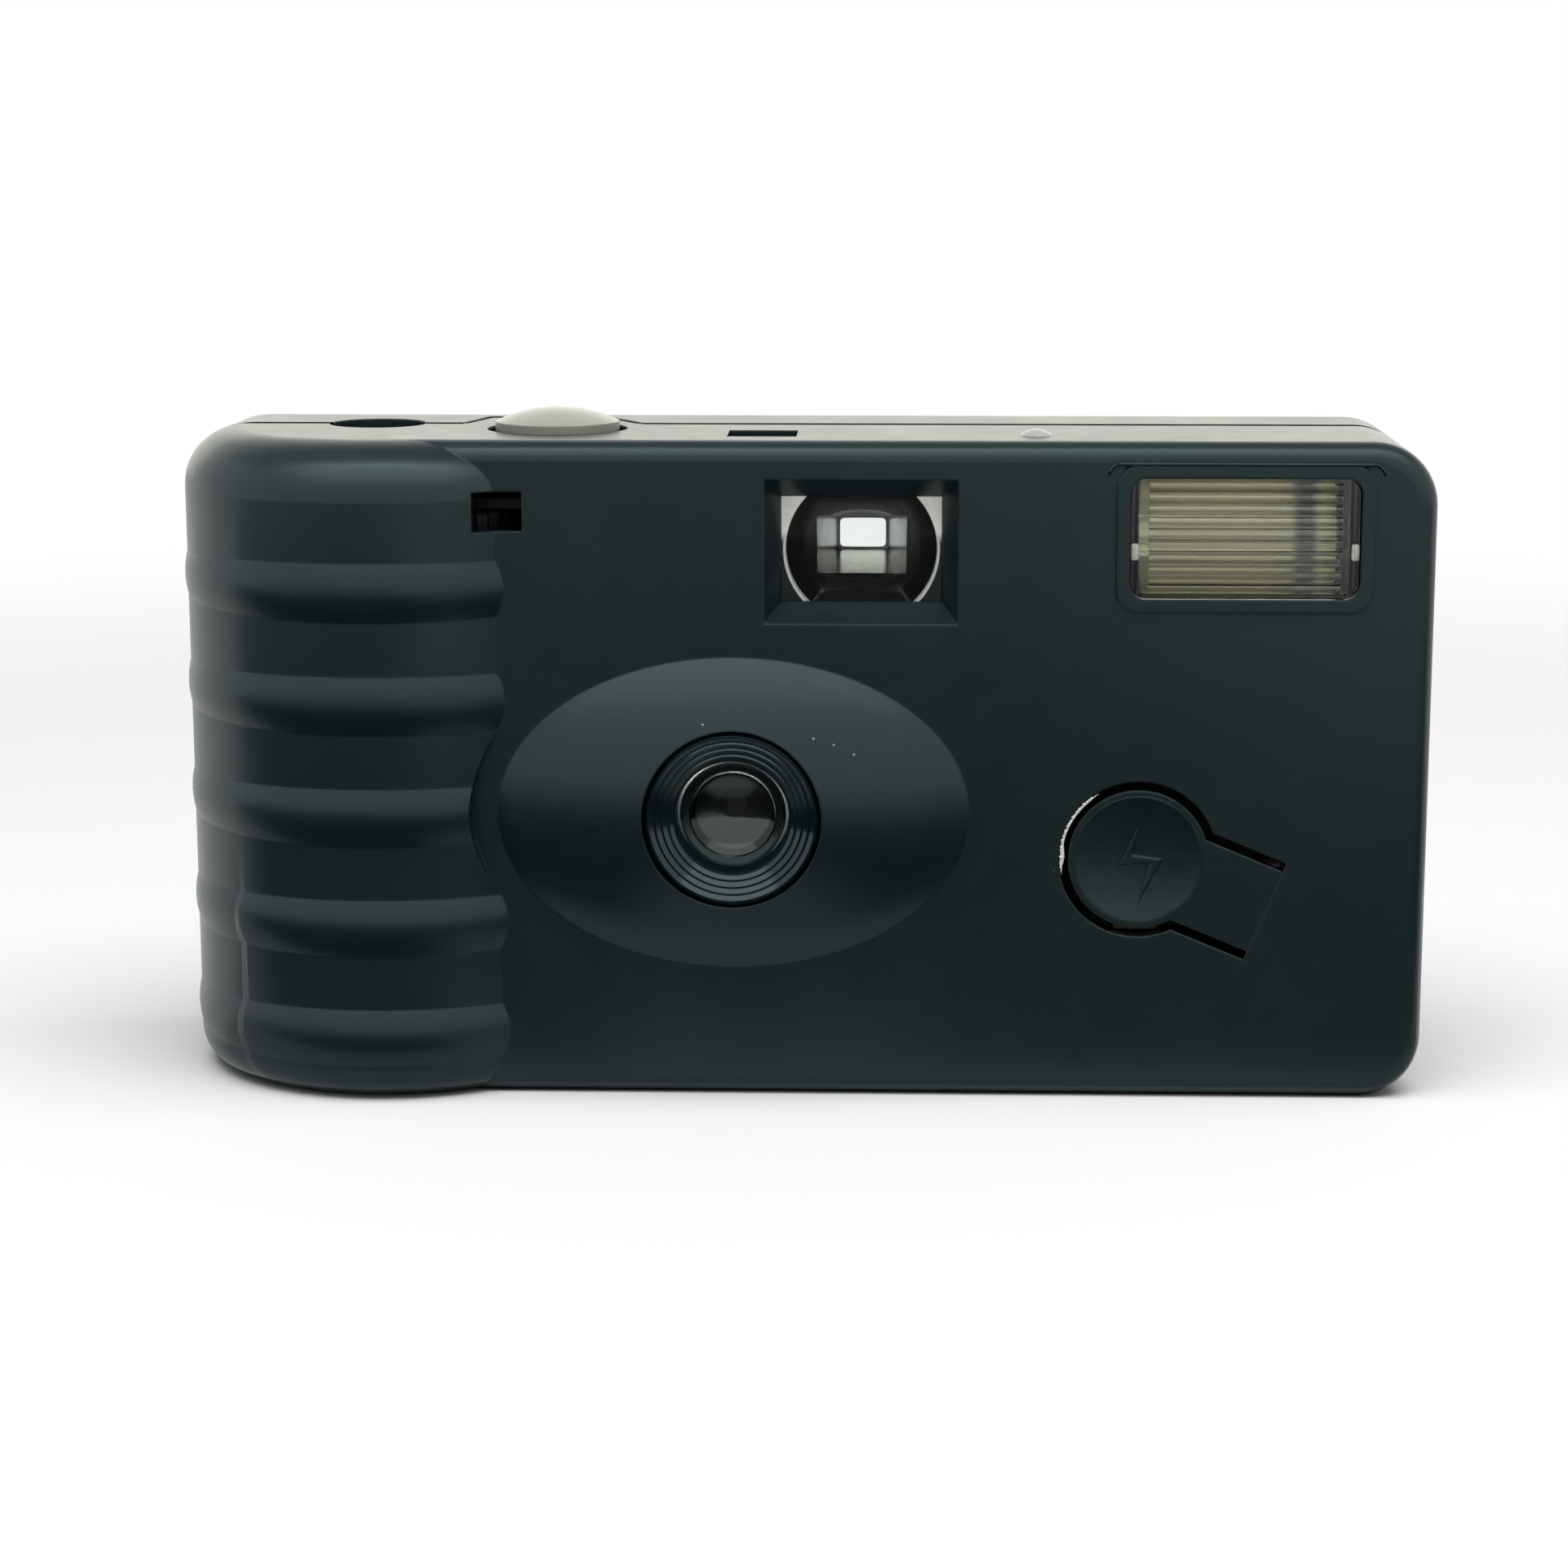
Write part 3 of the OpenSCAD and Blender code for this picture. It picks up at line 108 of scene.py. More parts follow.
class Field:
    """A socket of a shader graph, on which operators add Math nodes."""

    def __init__(self, graph: "Graph", socket: bpy.types.NodeSocket) -> None:
        """Keeps the graph and the socket that gives the value."""
        self.graph = graph
        self.socket = socket

    def _math(self, operation: str, first: Value, second: Value = 0.0) -> "Field":
        """Adds one Math node and returns its value."""
        return self.graph.node("ShaderNodeMath", {"operation": operation}, {0: first, 1: second})

    def __add__(self, other: Value) -> "Field":
        """Sum."""
        return self._math("ADD", self, other)

    def __radd__(self, other: Value) -> "Field":
        """Sum, reflected."""
        return self._math("ADD", other, self)

    def __sub__(self, other: Value) -> "Field":
        """Difference."""
        return self._math("SUBTRACT", self, other)

    def __rsub__(self, other: Value) -> "Field":
        """Difference, reflected."""
        return self._math("SUBTRACT", other, self)

    def __mul__(self, other: Value) -> "Field":
        """Product."""
        return self._math("MULTIPLY", self, other)

    def __rmul__(self, other: Value) -> "Field":
        """Product, reflected."""
        return self._math("MULTIPLY", other, self)

    def __truediv__(self, other: Value) -> "Field":
        """Quotient."""
        return self._math("DIVIDE", self, other)

    def __rtruediv__(self, other: Value) -> "Field":
        """Quotient, reflected."""
        return self._math("DIVIDE", other, self)

    def __pow__(self, other: Value) -> "Field":
        """Power."""
        return self._math("POWER", self, other)

    def __abs__(self) -> "Field":
        """Size without sign."""
        return self._math("ABSOLUTE", self)

    def root(self) -> "Field":
        """Square root."""
        return self._math("SQRT", self)

    def most(self, other: Value) -> "Field":
        """The larger of two values."""
        return self._math("MAXIMUM", self, other)

    def ramp(self, low: float, high: float) -> "Field":
        """Smooth step from 0 at low to 1 at high; high may be the lower one."""
        return self.graph.node(
            "ShaderNodeMapRange",
            {"interpolation_type": "SMOOTHSTEP", "clamp": True},
            {"Value": self, "From Min": low, "From Max": high, "To Min": 0.0, "To Max": 1.0},
        )


class Graph:
    """A node tree that is written as expressions."""

    def __init__(self, tree: bpy.types.NodeTree) -> None:
        """Starts with an empty tree."""
        self.tree = tree
        tree.nodes.clear()

    def node(
        self,
        kind: str,
        settings: Mapping[str, Any],
        sockets: Mapping[Union[str, int], Value],
        output: Union[str, int] = 0,
    ) -> Field:
        """Adds a node.

        Args:
            kind: the node's type.
            settings: attributes that are set first.
            sockets: values or links by input name or index.
            output: which output to give back.

        Returns:
            The chosen output, or an empty field for a node without outputs.
        """
        made = self.tree.nodes.new(kind)
        for key, value in settings.items():
            setattr(made, key, value)
        for key, value in sockets.items():
            self.feed(made.inputs[key], value)
        return Field(self, made.outputs[output] if made.outputs else None)

    def feed(self, socket: bpy.types.NodeSocket, value: Value) -> None:
        """Links a field to a socket, or sets the socket's own value.

        Args:
            socket: the input to feed.
            value: a field or a plain value.
        """
        if isinstance(value, Field):
            self.tree.links.new(value.socket, socket)
        elif socket.type == "RGBA" and len(value) == 3:
            socket.default_value = (*value, 1.0)
        else:
            socket.default_value = value

    def place(self) -> Field:
        """Object coordinates in metres."""
        return self.node("ShaderNodeTexCoord", {}, {}, "Object")

    def axes(self) -> tuple[Field, Field, Field]:
        """Object coordinates as three values in millimetres.

        Returns:
            x, y and z.
        """
        made = self.tree.nodes.new("ShaderNodeSeparateXYZ")
        self.feed(made.inputs[0], self.place())
        return tuple(Field(self, s) * 1000.0 for s in made.outputs)

    def noise(self, size_mm: float, detail: float = 2.0, rough: float = 0.5) -> Field:
        """Cloudy noise from 0 to 1 whose blobs are about size_mm across."""
        return self.node(
            "ShaderNodeTexNoise",
            {},
            {
                "Vector": self.place(),
                "Scale": 1000.0 / size_mm,
                "Detail": detail,
                "Roughness": rough,
            },
        )

    def cells(self, size_mm: float) -> Field:
        """Distance to the nearest of scattered points, in shares of size_mm."""
        return self.node(
            "ShaderNodeTexVoronoi",
            {"feature": "F1"},
            {"Vector": self.place(), "Scale": 1000.0 / size_mm},
            "Distance",
        )

    def occlusion(self, reach_mm: float) -> Field:
        """1 on open faces, less in crevices narrower than the reach."""
        reach = {"Distance": reach_mm * MM}
        return self.node("ShaderNodeAmbientOcclusion", {"samples": 8}, reach, "AO")

    def blend(self, factor: Value, low: Field, high: Field) -> Field:
        """Shader between low at factor 0 and high at factor 1."""
        return self.node("ShaderNodeMixShader", {}, {0: factor, 1: low, 2: high})

    def mix(self, factor: Value, low: Value, high: Value) -> Field:
        """Colour between low at factor 0 and high at factor 1."""
        return self.node("ShaderNodeMix", {"data_type": "RGBA"}, {0: factor, 6: low, 7: high}, 2)

    def soft_edges(self, radius_mm: float) -> Field:
        """Normal that rounds sharp edges over a radius."""
        return self.node("ShaderNodeBevel", {"samples": 4}, {"Radius": radius_mm * MM}, "Normal")

    def bump(self, height: Field, depth_mm: float, normal: Field | None = None) -> Field:
        """Normal of a surface raised by height times depth.

        Args:
            height: share of the depth, from 0 to 1.
            depth_mm: the depth.
            normal: normal to start from, or none for the face's own.

        Returns:
            The new normal.
        """
        sockets: dict[str, Value] = {"Height": height, "Strength": 1.0, "Distance": depth_mm * MM}
        if normal is not None:
            sockets["Normal"] = normal
        return self.node("ShaderNodeBump", {}, sockets)

    def surface(self, **sockets: Value) -> Field:
        """Principled shader; keyword names are socket names with _ for spaces."""
        named = {key.replace("_", " "): value for key, value in sockets.items()}
        return self.node("ShaderNodeBsdfPrincipled", {}, named)

    def output(self, shader: Field) -> None:
        """Ends the graph in the surface output."""
        self.node("ShaderNodeOutputMaterial", {}, {"Surface": shader})


def new_material(name: str) -> tuple[bpy.types.Material, Graph]:
    """Makes an empty node material and its graph.

    Args:
        name: the material's name.

    Returns:
        The material and its graph.
    """
    material = bpy.data.materials.new(name)
    material.use_nodes = True
    return material, Graph(material.node_tree)


@dataclass(frozen=True)
class MouldedPlastic:
    """Injection-moulded plastic with spark-eroded grain, mottling, edges rubbed smooth and painted
    shade in its crevices.

    Attributes:
        name: the material's name.
        colour: base colour.
        rough: roughness of the flat faces.
        shine: specular level.
        grain_mm: width of a grain.
        grain_depth: depth of the grain in millimetres.
        edge_mm: radius of the moulded edges.
        rub: how much paler rubbed edges are.
        tint: colour of the shine.
        crevice: reach in millimetres within which crevices get painted shade, a dark diffuse mix.
    """

    name: str
    colour: RGB
    rough: float
    shine: float
    grain_mm: float = 0.2
    grain_depth: float = 0.004
    edge_mm: float = 0.25
    rub: float = 0.25
    tint: RGB = (1.0, 1.0, 1.0)
    crevice: float = 0.5

    def paint(self) -> bpy.types.Material:
        """Builds the material.

        Returns:
            The finished material.
        """
        material, graph = new_material(self.name)
        graph.output(self.shader(graph))
        return material

    def shader(self, graph: Graph) -> Field:
        """Grain is fine noise as a bump; cloudy noise moves colour and roughness a little.

        Args:
            graph: the material's graph.

        Returns:
            The shader.
        """
        edges = graph.soft_edges(self.edge_mm)
        grain = graph.noise(self.grain_mm, 3.0, 0.6)
        relief = graph.bump(grain, self.grain_depth, self.swept(graph, edges))
        cloud = graph.noise(14.0, 3.0, 0.55)
        fine = graph.noise(2.5, 2.0, 0.5)
        rubbed = self.worn_edges(graph, edges)
        pale = tuple(c * 1.6 + 0.01 for c in self.colour)
        dark = tuple(c * 0.88 for c in self.colour)
        colour = graph.mix(cloud.ramp(0.3, 0.7), dark, self.colour)
        colour = graph.mix(rubbed * self.rub, colour, pale)
        rough = self.rough + (cloud - 0.5) * 0.08 + (fine - 0.5) * 0.06 - rubbed * 0.1
        plastic = graph.surface(
            Base_Color=self.marked(graph, colour),
            Roughness=rough,
            Specular_IOR_Level=self.shine,
            Specular_Tint=self.tint,
            Normal=relief,
        )
        # Painted shade: a dark diffuse shader is mixed in where crevices are narrow
        shade_colour = tuple(c * 0.3 for c in self.colour)
        painted_shade = graph.node("ShaderNodeBsdfDiffuse", {}, {"Color": shade_colour})
        return graph.blend(self.painted_crevice_shade(graph), plastic, painted_shade)

    def painted_crevice_shade(self, graph: Graph) -> Field:
        """Share of painted shade: where a crevice is narrower than the reach."""
        return graph.occlusion(self.crevice).ramp(0.62, 0.34)

    def swept(self, graph: Graph, normal: Field) -> Field:
        """Normal with the slow sweep of this piece's faces; plain plastic has none."""
        return normal

    def worn_edges(self, graph: Graph, edges: Field) -> Field:
        """Share of wear: where the rounded normal leaves the face's own normal, broken up by noise.

        Args:
            graph: the material's graph.
            edges: the rounded normal.

        Returns:
            A share from 0 to 1.
        """
        flat = graph.node("ShaderNodeNewGeometry", {}, {}, "Normal")
        same = graph.node(
            "ShaderNodeVectorMath", {"operation": "DOT_PRODUCT"}, {0: edges, 1: flat}, "Value"
        )
        return (1.0 - same).ramp(0.02, 0.25) * graph.noise(1.2, 2.0, 0.6).ramp(0.35, 0.65)

    def marked(self, graph: Graph, colour: Field) -> Field:
        """Colour with the marks of this piece; plain plastic has none."""
        return colour


@dataclass(frozen=True)
class CoverPlastic(MouldedPlastic):
    """Plastic of the covers, with dust specks, a spot of painted shade for a pit, the seam's
    painted shade line and a slight sweep.

    Attributes:
        speck: colour of the dust.
        specks: places of single specks in x and z on the front, in millimetres.
        pit: place in x and z of a near-black spot of painted shade for a pit, close to the top edge
            of the front.
        seam_y: depth of the seam on the top, and of its stretch behind the button.
        seam_half: half width of the painted shade line along it.
        top: heights between which the top begins.
        bend: middle and half width in x of the stretch where the seam leaves its line.
        behind: middle and half width in x of the stretch behind the button.
        sweep: how far the front swells towards its foot, in millimetres.
        sweep_top: height at which that starts.
    """

    speck: RGB = (0.30, 0.32, 0.31)
    specks: Places = ((1.86, 34.35), (3.71, 33.76), (5.55, 32.87), (-8.2, 35.6))
    pit: tuple[float, float] = (-19.35, 60.2)
    seam_y: tuple[float, float] = (5.45, 11.78)
    seam_half: float = 0.75
    top: tuple[float, float] = (60.3, 60.6)
    bend: tuple[float, float] = (-23.35, 8.5)
    behind: tuple[float, float] = (-24.4, 5.8)
    sweep: float = 0.9
    sweep_top: float = 26.0

    def marked(self, graph: Graph, colour: Field) -> Field:
        """Specks and the pit's painted shade lie at their places; faint dust lies where a slow
        noise is high.

        Args:
            graph: the material's graph.
            colour: the plastic's colour.

        Returns:
            The colour with its marks.
        """
        x, y, z = graph.axes()
        ahead = y.ramp(-8.0, -10.0)
        dusty = graph.noise(13.0, 1.0, 0.5).ramp(0.62, 0.72)
        marks = graph.cells(2.3).ramp(0.03, 0.015) * dusty * 0.5
        for place in self.specks:
            marks = marks.most(self.spot(x, z, place).ramp(0.13, 0.05) * ahead)
        # Painted shade: a near-black spot where the pit would be shaded
        dark = self.spot(x, z, self.pit).ramp(0.3, 0.2) * ahead
        return graph.mix(dark, graph.mix(marks, colour, self.speck), (0.001, 0.002, 0.002))

    def swept(self, graph: Graph, normal: Field) -> Field:
        """The front bulges towards its foot, so its normal leans up there.

        Args:
            graph: the material's graph.
            normal: normal to start from.

        Returns:
            The leaning normal.
        """
        _, y, z = graph.axes()
        low = ((self.sweep_top - z).most(0.0) / self.sweep_top) ** 2.0
        front = y.ramp(-10.6, -11.2)
        return graph.bump(low * front, self.sweep, normal)

    def painted_crevice_shade(self, graph: Graph) -> Field:
        """Painted shade in crevices, and the seam's painted shadow on the top, which steps back
        behind the button.

        Args:
            graph: the material's graph.

        Returns:
            A share from 0 to 1.
        """
        x, y, z = graph.axes()
        soft = 0.1
        reach = (self.seam_half + soft, self.seam_half - soft)
        # Painted shadow: a dark band along the seam on the top, stepping back behind the button
        aside = abs(x - self.bend[0]).ramp(self.bend[1] - soft, self.bend[1] + soft)
        behind = abs(x - self.behind[0]).ramp(self.behind[1] + soft, self.behind[1] - soft)
        line = aside * abs(y - self.seam_y[0]).ramp(*reach)
        line = line.most(behind * abs(y - self.seam_y[1]).ramp(*reach))
        return super().painted_crevice_shade(graph).most(line * z.ramp(*self.top))

    def spot(self, x: Field, z: Field, place: tuple[float, float]) -> Field:
        """Distance in x and z from a place."""
        return ((x - place[0]) ** 2.0 + (z - place[1]) ** 2.0).root()


@dataclass(frozen=True)
class ClearPlastic:
    """Clear moulded plastic that lets light through to what lies behind it.

    Attributes:
        name: the material's name.
        tint: colour of the plastic.
        sheen: colour of its reflections.
        rough: roughness.
        index: refractive index.
    """

    name: str
    tint: RGB = (0.95, 0.98, 0.96)
    sheen: RGB = (1.0, 1.0, 1.0)
    rough: float = 0.03
    index: float = 1.49

    def paint(self) -> bpy.types.Material:
        """Builds the material; for shadow rays it is plainly clear.

        Returns:
            The finished material.
        """
        material, graph = new_material(self.name)
        graph.output(self.shaded(graph, self.body(graph)))
        return material

    def body(self, graph: Graph) -> Field:
        """Refracting plastic with faint smears in its roughness."""
        smear = graph.noise(3.0, 3.0, 0.6).ramp(0.45, 0.8)
        return graph.surface(
            Base_Color=self.tint,
            Roughness=self.rough + smear * 0.05,
            IOR=self.index,
            Specular_Tint=self.sheen,
            Transmission_Weight=1.0,
        )

    def shaded(self, graph: Graph, body: Field) -> Field:
        """Lets shadow rays pass, so that what lies behind is lit.

        Args:
            graph: the material's graph.
            body: the plastic's shader.

        Returns:
            The shader for every ray.
        """
        shadow = graph.node("ShaderNodeLightPath", {}, {}, "Is Shadow Ray")
        clear = graph.node("ShaderNodeBsdfTransparent", {}, {"Color": self.tint})
        return graph.blend(shadow, body, clear)


@dataclass(frozen=True)
class FinderGlass(ClearPlastic):
    """Front lens of the finder: polished inside a circle, ground at its corners.

    Attributes:
        middle: the finder's axis in x and z, in millimetres.
        polished_r: radius of the polished circle.
    """

    middle: tuple[float, float] = (6.1, 51.0)
    polished_r: float = 6.9

    def body(self, graph: Graph) -> Field:
        """Clear inside the circle; outside it frosted above, and below dark as painted shade with a
        pale line along the circle as a painted highlight.

        Args:
            graph: the material's graph.

        Returns:
            The shader.
        """
        x, _, z = graph.axes()
        away = ((x - self.middle[0]) ** 2.0 + (z - self.middle[1]) ** 2.0).root()
        ground = away.ramp(self.polished_r - 0.05, self.polished_r + 0.1)
        frosted = graph.surface(
            Base_Color=graph.mix(
                graph.noise(0.8).ramp(0.3, 0.7), (0.86, 0.88, 0.80), (0.95, 0.96, 0.90)
            ),
            Roughness=0.3,
            Transmission_Weight=0.1,
        )
        # Painted shade: the ground corners are made dark below the axis, where they would be unlit
        painted_shade_below = graph.surface(
            Base_Color=(0.008, 0.014, 0.014), Roughness=0.15 + graph.noise(0.8) * 0.1
        )
        # Painted highlight: a pale line along the circle in the lower corners
        rim = abs(away - self.polished_r - 0.1).ramp(0.22, 0.1)
        upper = z.ramp(self.middle[1] + 0.4, self.middle[1] + 1.6)
        corners = graph.blend(upper.most(rim * 0.7), painted_shade_below, frosted)
        return graph.blend(ground, super().body(graph), corners)


@dataclass(frozen=True)
class SheetMetal:
    """Bare rolled metal with fine streaks along x and faint tarnish.

    Attributes:
        name: the material's name.
        colour: base colour.
        rough: roughness.
        tarnish: colour of the tarnish.
    """

    name: str
    colour: RGB
    rough: float = 0.32
    tarnish: RGB = (0.3, 0.27, 0.22)

    def paint(self) -> bpy.types.Material:
        """Streaks are noise drawn out along x; they move roughness and a slight bump.

        Returns:
            The finished material.
        """
        material, graph = new_material(self.name)
        drawn = graph.node(
            "ShaderNodeMapping", {}, {"Vector": graph.place(), "Scale": (0.06, 1.0, 1.0)}
        )
        streak = graph.node(
            "ShaderNodeTexNoise", {}, {"Vector": drawn, "Scale": 6000.0, "Detail": 3.0}
        )
        stain = graph.noise(5.0, 4.0, 0.6).ramp(0.5, 0.85)
        graph.output(
            graph.surface(
                Base_Color=graph.mix(stain * 0.35, self.colour, self.tarnish),
                Metallic=1.0,
                Roughness=self.rough + (streak - 0.5) * 0.2 + stain * 0.1,
                Normal=graph.bump(streak, 0.002),
            )
        )
        return material


@dataclass(frozen=True)
class FlashMirror(SheetMetal):
    """Trough of the flash: bright sheet, black beyond its ends, with the shade of the tube's end.

    Attributes:
        middle_x: middle of the trough in millimetres.
        bright_half: half width of the bright part.
        shade_x: place of the shade in x.
    """

    middle_x: float = 40.8
    bright_half: float = 9.1
    shade_x: float = 47.05

    def paint(self) -> bpy.types.Material:
        """Blackening and shade are soft bands in x over a slightly mottled sheet.

        Returns:
            The finished material.
        """
        material, graph = new_material(self.name)
        x, _, _ = graph.axes()
        stain = graph.noise(2.0, 4.0, 0.6)
        ends = abs(x - self.middle_x).ramp(self.bright_half - 0.1, self.bright_half + 0.1)
        shade = abs(x - self.shade_x).ramp(1.5, 0.4)
        colour = graph.mix(stain * 0.5, self.colour, self.tarnish)
        colour = graph.mix(shade * 0.85, colour, (0.09, 0.12, 0.14))
        graph.output(
            graph.surface(
                Base_Color=graph.mix(ends, colour, (0.012, 0.014, 0.014)),
                Metallic=1.0 - ends.most(shade * 0.5),
                Roughness=self.rough + stain * 0.15,
            )
        )
        return material


@dataclass(frozen=True)
class MilkyPlastic:
    """Translucent pale plastic, a little cloudy.

    Attributes:
        name: the material's name.
        colour: base colour.
        clear: share of light that passes through.
    """

    name: str
    colour: RGB
    clear: float = 0.35

    def paint(self) -> bpy.types.Material:
        """Cloudy noise moves colour and roughness.

        Returns:
            The finished material.
        """
        material, graph = new_material(self.name)
        cloud = graph.noise(0.7, 3.0, 0.6)
        dim = tuple(c * 0.75 for c in self.colour)
        graph.output(
            graph.surface(
                Base_Color=graph.mix(cloud, dim, self.colour),
                Roughness=0.2 + cloud * 0.15,
                Transmission_Weight=self.clear,
            )
        )
        return material


@dataclass(frozen=True)
class FilmBase:
    """Film: dark brown, smooth, with a slight mottling."""

    name: str = "film_base"

    def paint(self) -> bpy.types.Material:
        """Cloudy noise moves colour and roughness.

        Returns:
            The finished material.
        """
        material, graph = new_material(self.name)
        cloud = graph.noise(6.0, 2.0, 0.5)
        graph.output(
            graph.surface(
                Base_Color=graph.mix(cloud, (0.05, 0.028, 0.018), (0.11, 0.065, 0.04)),
                Roughness=0.22 + cloud * 0.1,
            )
        )
        return material


@dataclass(frozen=True)
class PaperBoard:
    """Resin-bonded paper board with copper tracks, darkened to near black as painted shade of the
    slot behind the charge tab.
    """

    name: str = "board_brown"

    def paint(self) -> bpy.types.Material:
        """Tracks are bands of a brick pattern; fibres are drawn-out noise.

        Returns:
            The finished material.
        """
        material, graph = new_material(self.name)
        x, _, z = graph.axes()
        flat = graph.node("ShaderNodeCombineXYZ", {}, {0: x, 1: z, 2: 0.0})
        track = graph.node(
            "ShaderNodeTexBrick",
            {"offset": 0.5},
            {
                "Vector": flat,
                "Scale": 0.22,
                "Mortar Size": 0.09,
                "Brick Width": 0.7,
                "Row Height": 0.5,
            },
            "Fac",
        )
        fibre = graph.noise(0.5, 4.0, 0.7)
        # Near-black colours: painted shade where the board shows through the tab's slot
        base = graph.mix(fibre, (0.002, 0.003, 0.003), (0.005, 0.006, 0.005))
        graph.output(
            graph.surface(
                Base_Color=graph.mix(track * 0.8, base, (0.009, 0.009, 0.007)),
                Roughness=0.6 - track * 0.1,
                Specular_IOR_Level=0.15,
                Normal=graph.bump(track, 0.03),
            )
        )
        return material


class Slot(Enum):
    """Material slots of the record."""

    COVER = "cover_black"
    INNER = "inner_black"
    GLOSS = "gloss_black"
    BUTTON = "button_grey"
    CLEAR = "clear_plastic"
    GLASS = "tube_glass"
    STEEL = "spring_steel"
    BLADE = "blade_black"
    REFLECTOR = "reflector_metal"
    BRASS = "contact_brass"
    FILM = "film_base"
    BOARD = "board_brown"
    CASE = "component_case"
    CAN = "can_metal"
    CORE = "core_iron"


class Finishes:
    """Every finish of the camera, built once."""

    def __init__(self) -> None:
        """Builds the materials by slot, then those of single pieces."""
        makers = {
            Slot.COVER: CoverPlastic(
                "cover_black", (0.0034, 0.0102, 0.0118), 0.30, 0.5, tint=(0.8, 1.0, 1.0)
            ),
            Slot.INNER: MouldedPlastic(
                "inner_black", (0.003, 0.008, 0.009), 0.45, 0.3, edge_mm=0.12
            ),
            Slot.GLOSS: MouldedPlastic(
                "gloss_black",
                (0.003, 0.009, 0.010),
                0.14,
                0.55,
                grain_mm=0.6,
                grain_depth=0.0008,
                edge_mm=0.08,
                rub=0.1,
                tint=(0.8, 1.0, 1.0),
                crevice=0.2,
            ),
            Slot.BUTTON: MouldedPlastic(
                "button_grey",
                (0.33, 0.33, 0.28),
                0.3,
                0.5,
                grain_mm=0.3,
                grain_depth=0.0015,
                edge_mm=0.2,
                rub=0.15,
            ),
            Slot.CLEAR: ClearPlastic("clear_plastic"),
            Slot.GLASS: ClearPlastic("tube_glass", (0.94, 0.96, 0.96), rough=0.02, index=1.52),
            Slot.STEEL: SheetMetal("spring_steel", (0.62, 0.63, 0.65)),
            Slot.BLADE: MouldedPlastic("blade_black", (0.03, 0.03, 0.03), 0.4, 0.5, edge_mm=0.05),
            Slot.REFLECTOR: FlashMirror(
                "reflector_metal", (0.66, 0.64, 0.50), 0.28, (0.42, 0.40, 0.30)
            ),
            # Brass darkened far below its own colour: painted shade where the contact shows in the
            # tab's slot; its stains are tarnish
            Slot.BRASS: SheetMetal("contact_brass", (0.10, 0.080, 0.045), 0.5, (0.05, 0.035, 0.02)),
            Slot.FILM: FilmBase(),
            Slot.BOARD: PaperBoard(),
            Slot.CASE: MouldedPlastic("component_case", (0.09, 0.07, 0.06), 0.4, 0.5, edge_mm=0.1),
            Slot.CAN: SheetMetal("can_metal", (0.35, 0.34, 0.36), 0.35),
            Slot.CORE: SheetMetal("core_iron", (0.55, 0.40, 0.18), 0.4, (0.25, 0.12, 0.05)),
        }
        self.materials = {slot: maker.paint() for slot, maker in makers.items()}
        self.finder_glass = FinderGlass("finder_glass").paint()
        self.tunnel = MouldedPlastic(
            "tunnel_black",
            (0.004, 0.005, 0.005),
            0.22,
            0.3,
            grain_mm=0.6,
            grain_depth=0.0008,
            edge_mm=0.08,
            rub=0.1,
        ).paint()
        self.milky = MilkyPlastic("milky_plastic", (0.70, 0.71, 0.64)).paint()
        self.flash = ClearPlastic("flash_plastic", (0.95, 0.95, 0.88), rough=0.02).paint()
        self.lens = ClearPlastic("lens_plastic", sheen=(0.86, 1.0, 0.92), rough=0.0).paint()
        self.torn = MouldedPlastic(
            "torn_plastic",
            (0.62, 0.64, 0.60),
            0.4,
            0.5,
            grain_mm=0.15,
            grain_depth=0.02,
            edge_mm=0.03,
            rub=0.2,
            crevice=0.02,
        ).paint()

    def __getitem__(self, slot: Slot) -> bpy.types.Material:
        """The material of a slot."""
        return self.materials[slot]


class Frame:
    """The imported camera: its nodes, bodies and the finish that each node gets."""

    def __init__(self) -> None:
        """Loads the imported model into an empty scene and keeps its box."""
        for thing in list(bpy.data.objects):
            bpy.data.objects.remove(thing)
        self.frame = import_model()
        self.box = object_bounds()

    def dress_all(self, finishes: Finishes) -> None:
        """Gives every node the finish of its slot in the record, and four nodes one of their own.

        Args:
            finishes: the camera's finishes.
        """
        for part in self.frame["record"]["subparts"]:
            self.dress(part["node"], finishes[Slot(part["material_slot"])])
        self.dress("finder_front_lens", finishes.finder_glass)
        self.dress("finder_frame", finishes.tunnel)
        self.dress("ready_light", finishes.milky)
        self.dress("flash_window", finishes.flash)
        log.info("dressed %d nodes", len(self.frame["nodes"]))

    def dress(self, node: str, material: bpy.types.Material) -> None:
        """Puts a material on a node's object."""
        for place in self.frame["nodes"][node].material_slots:
            place.material = material


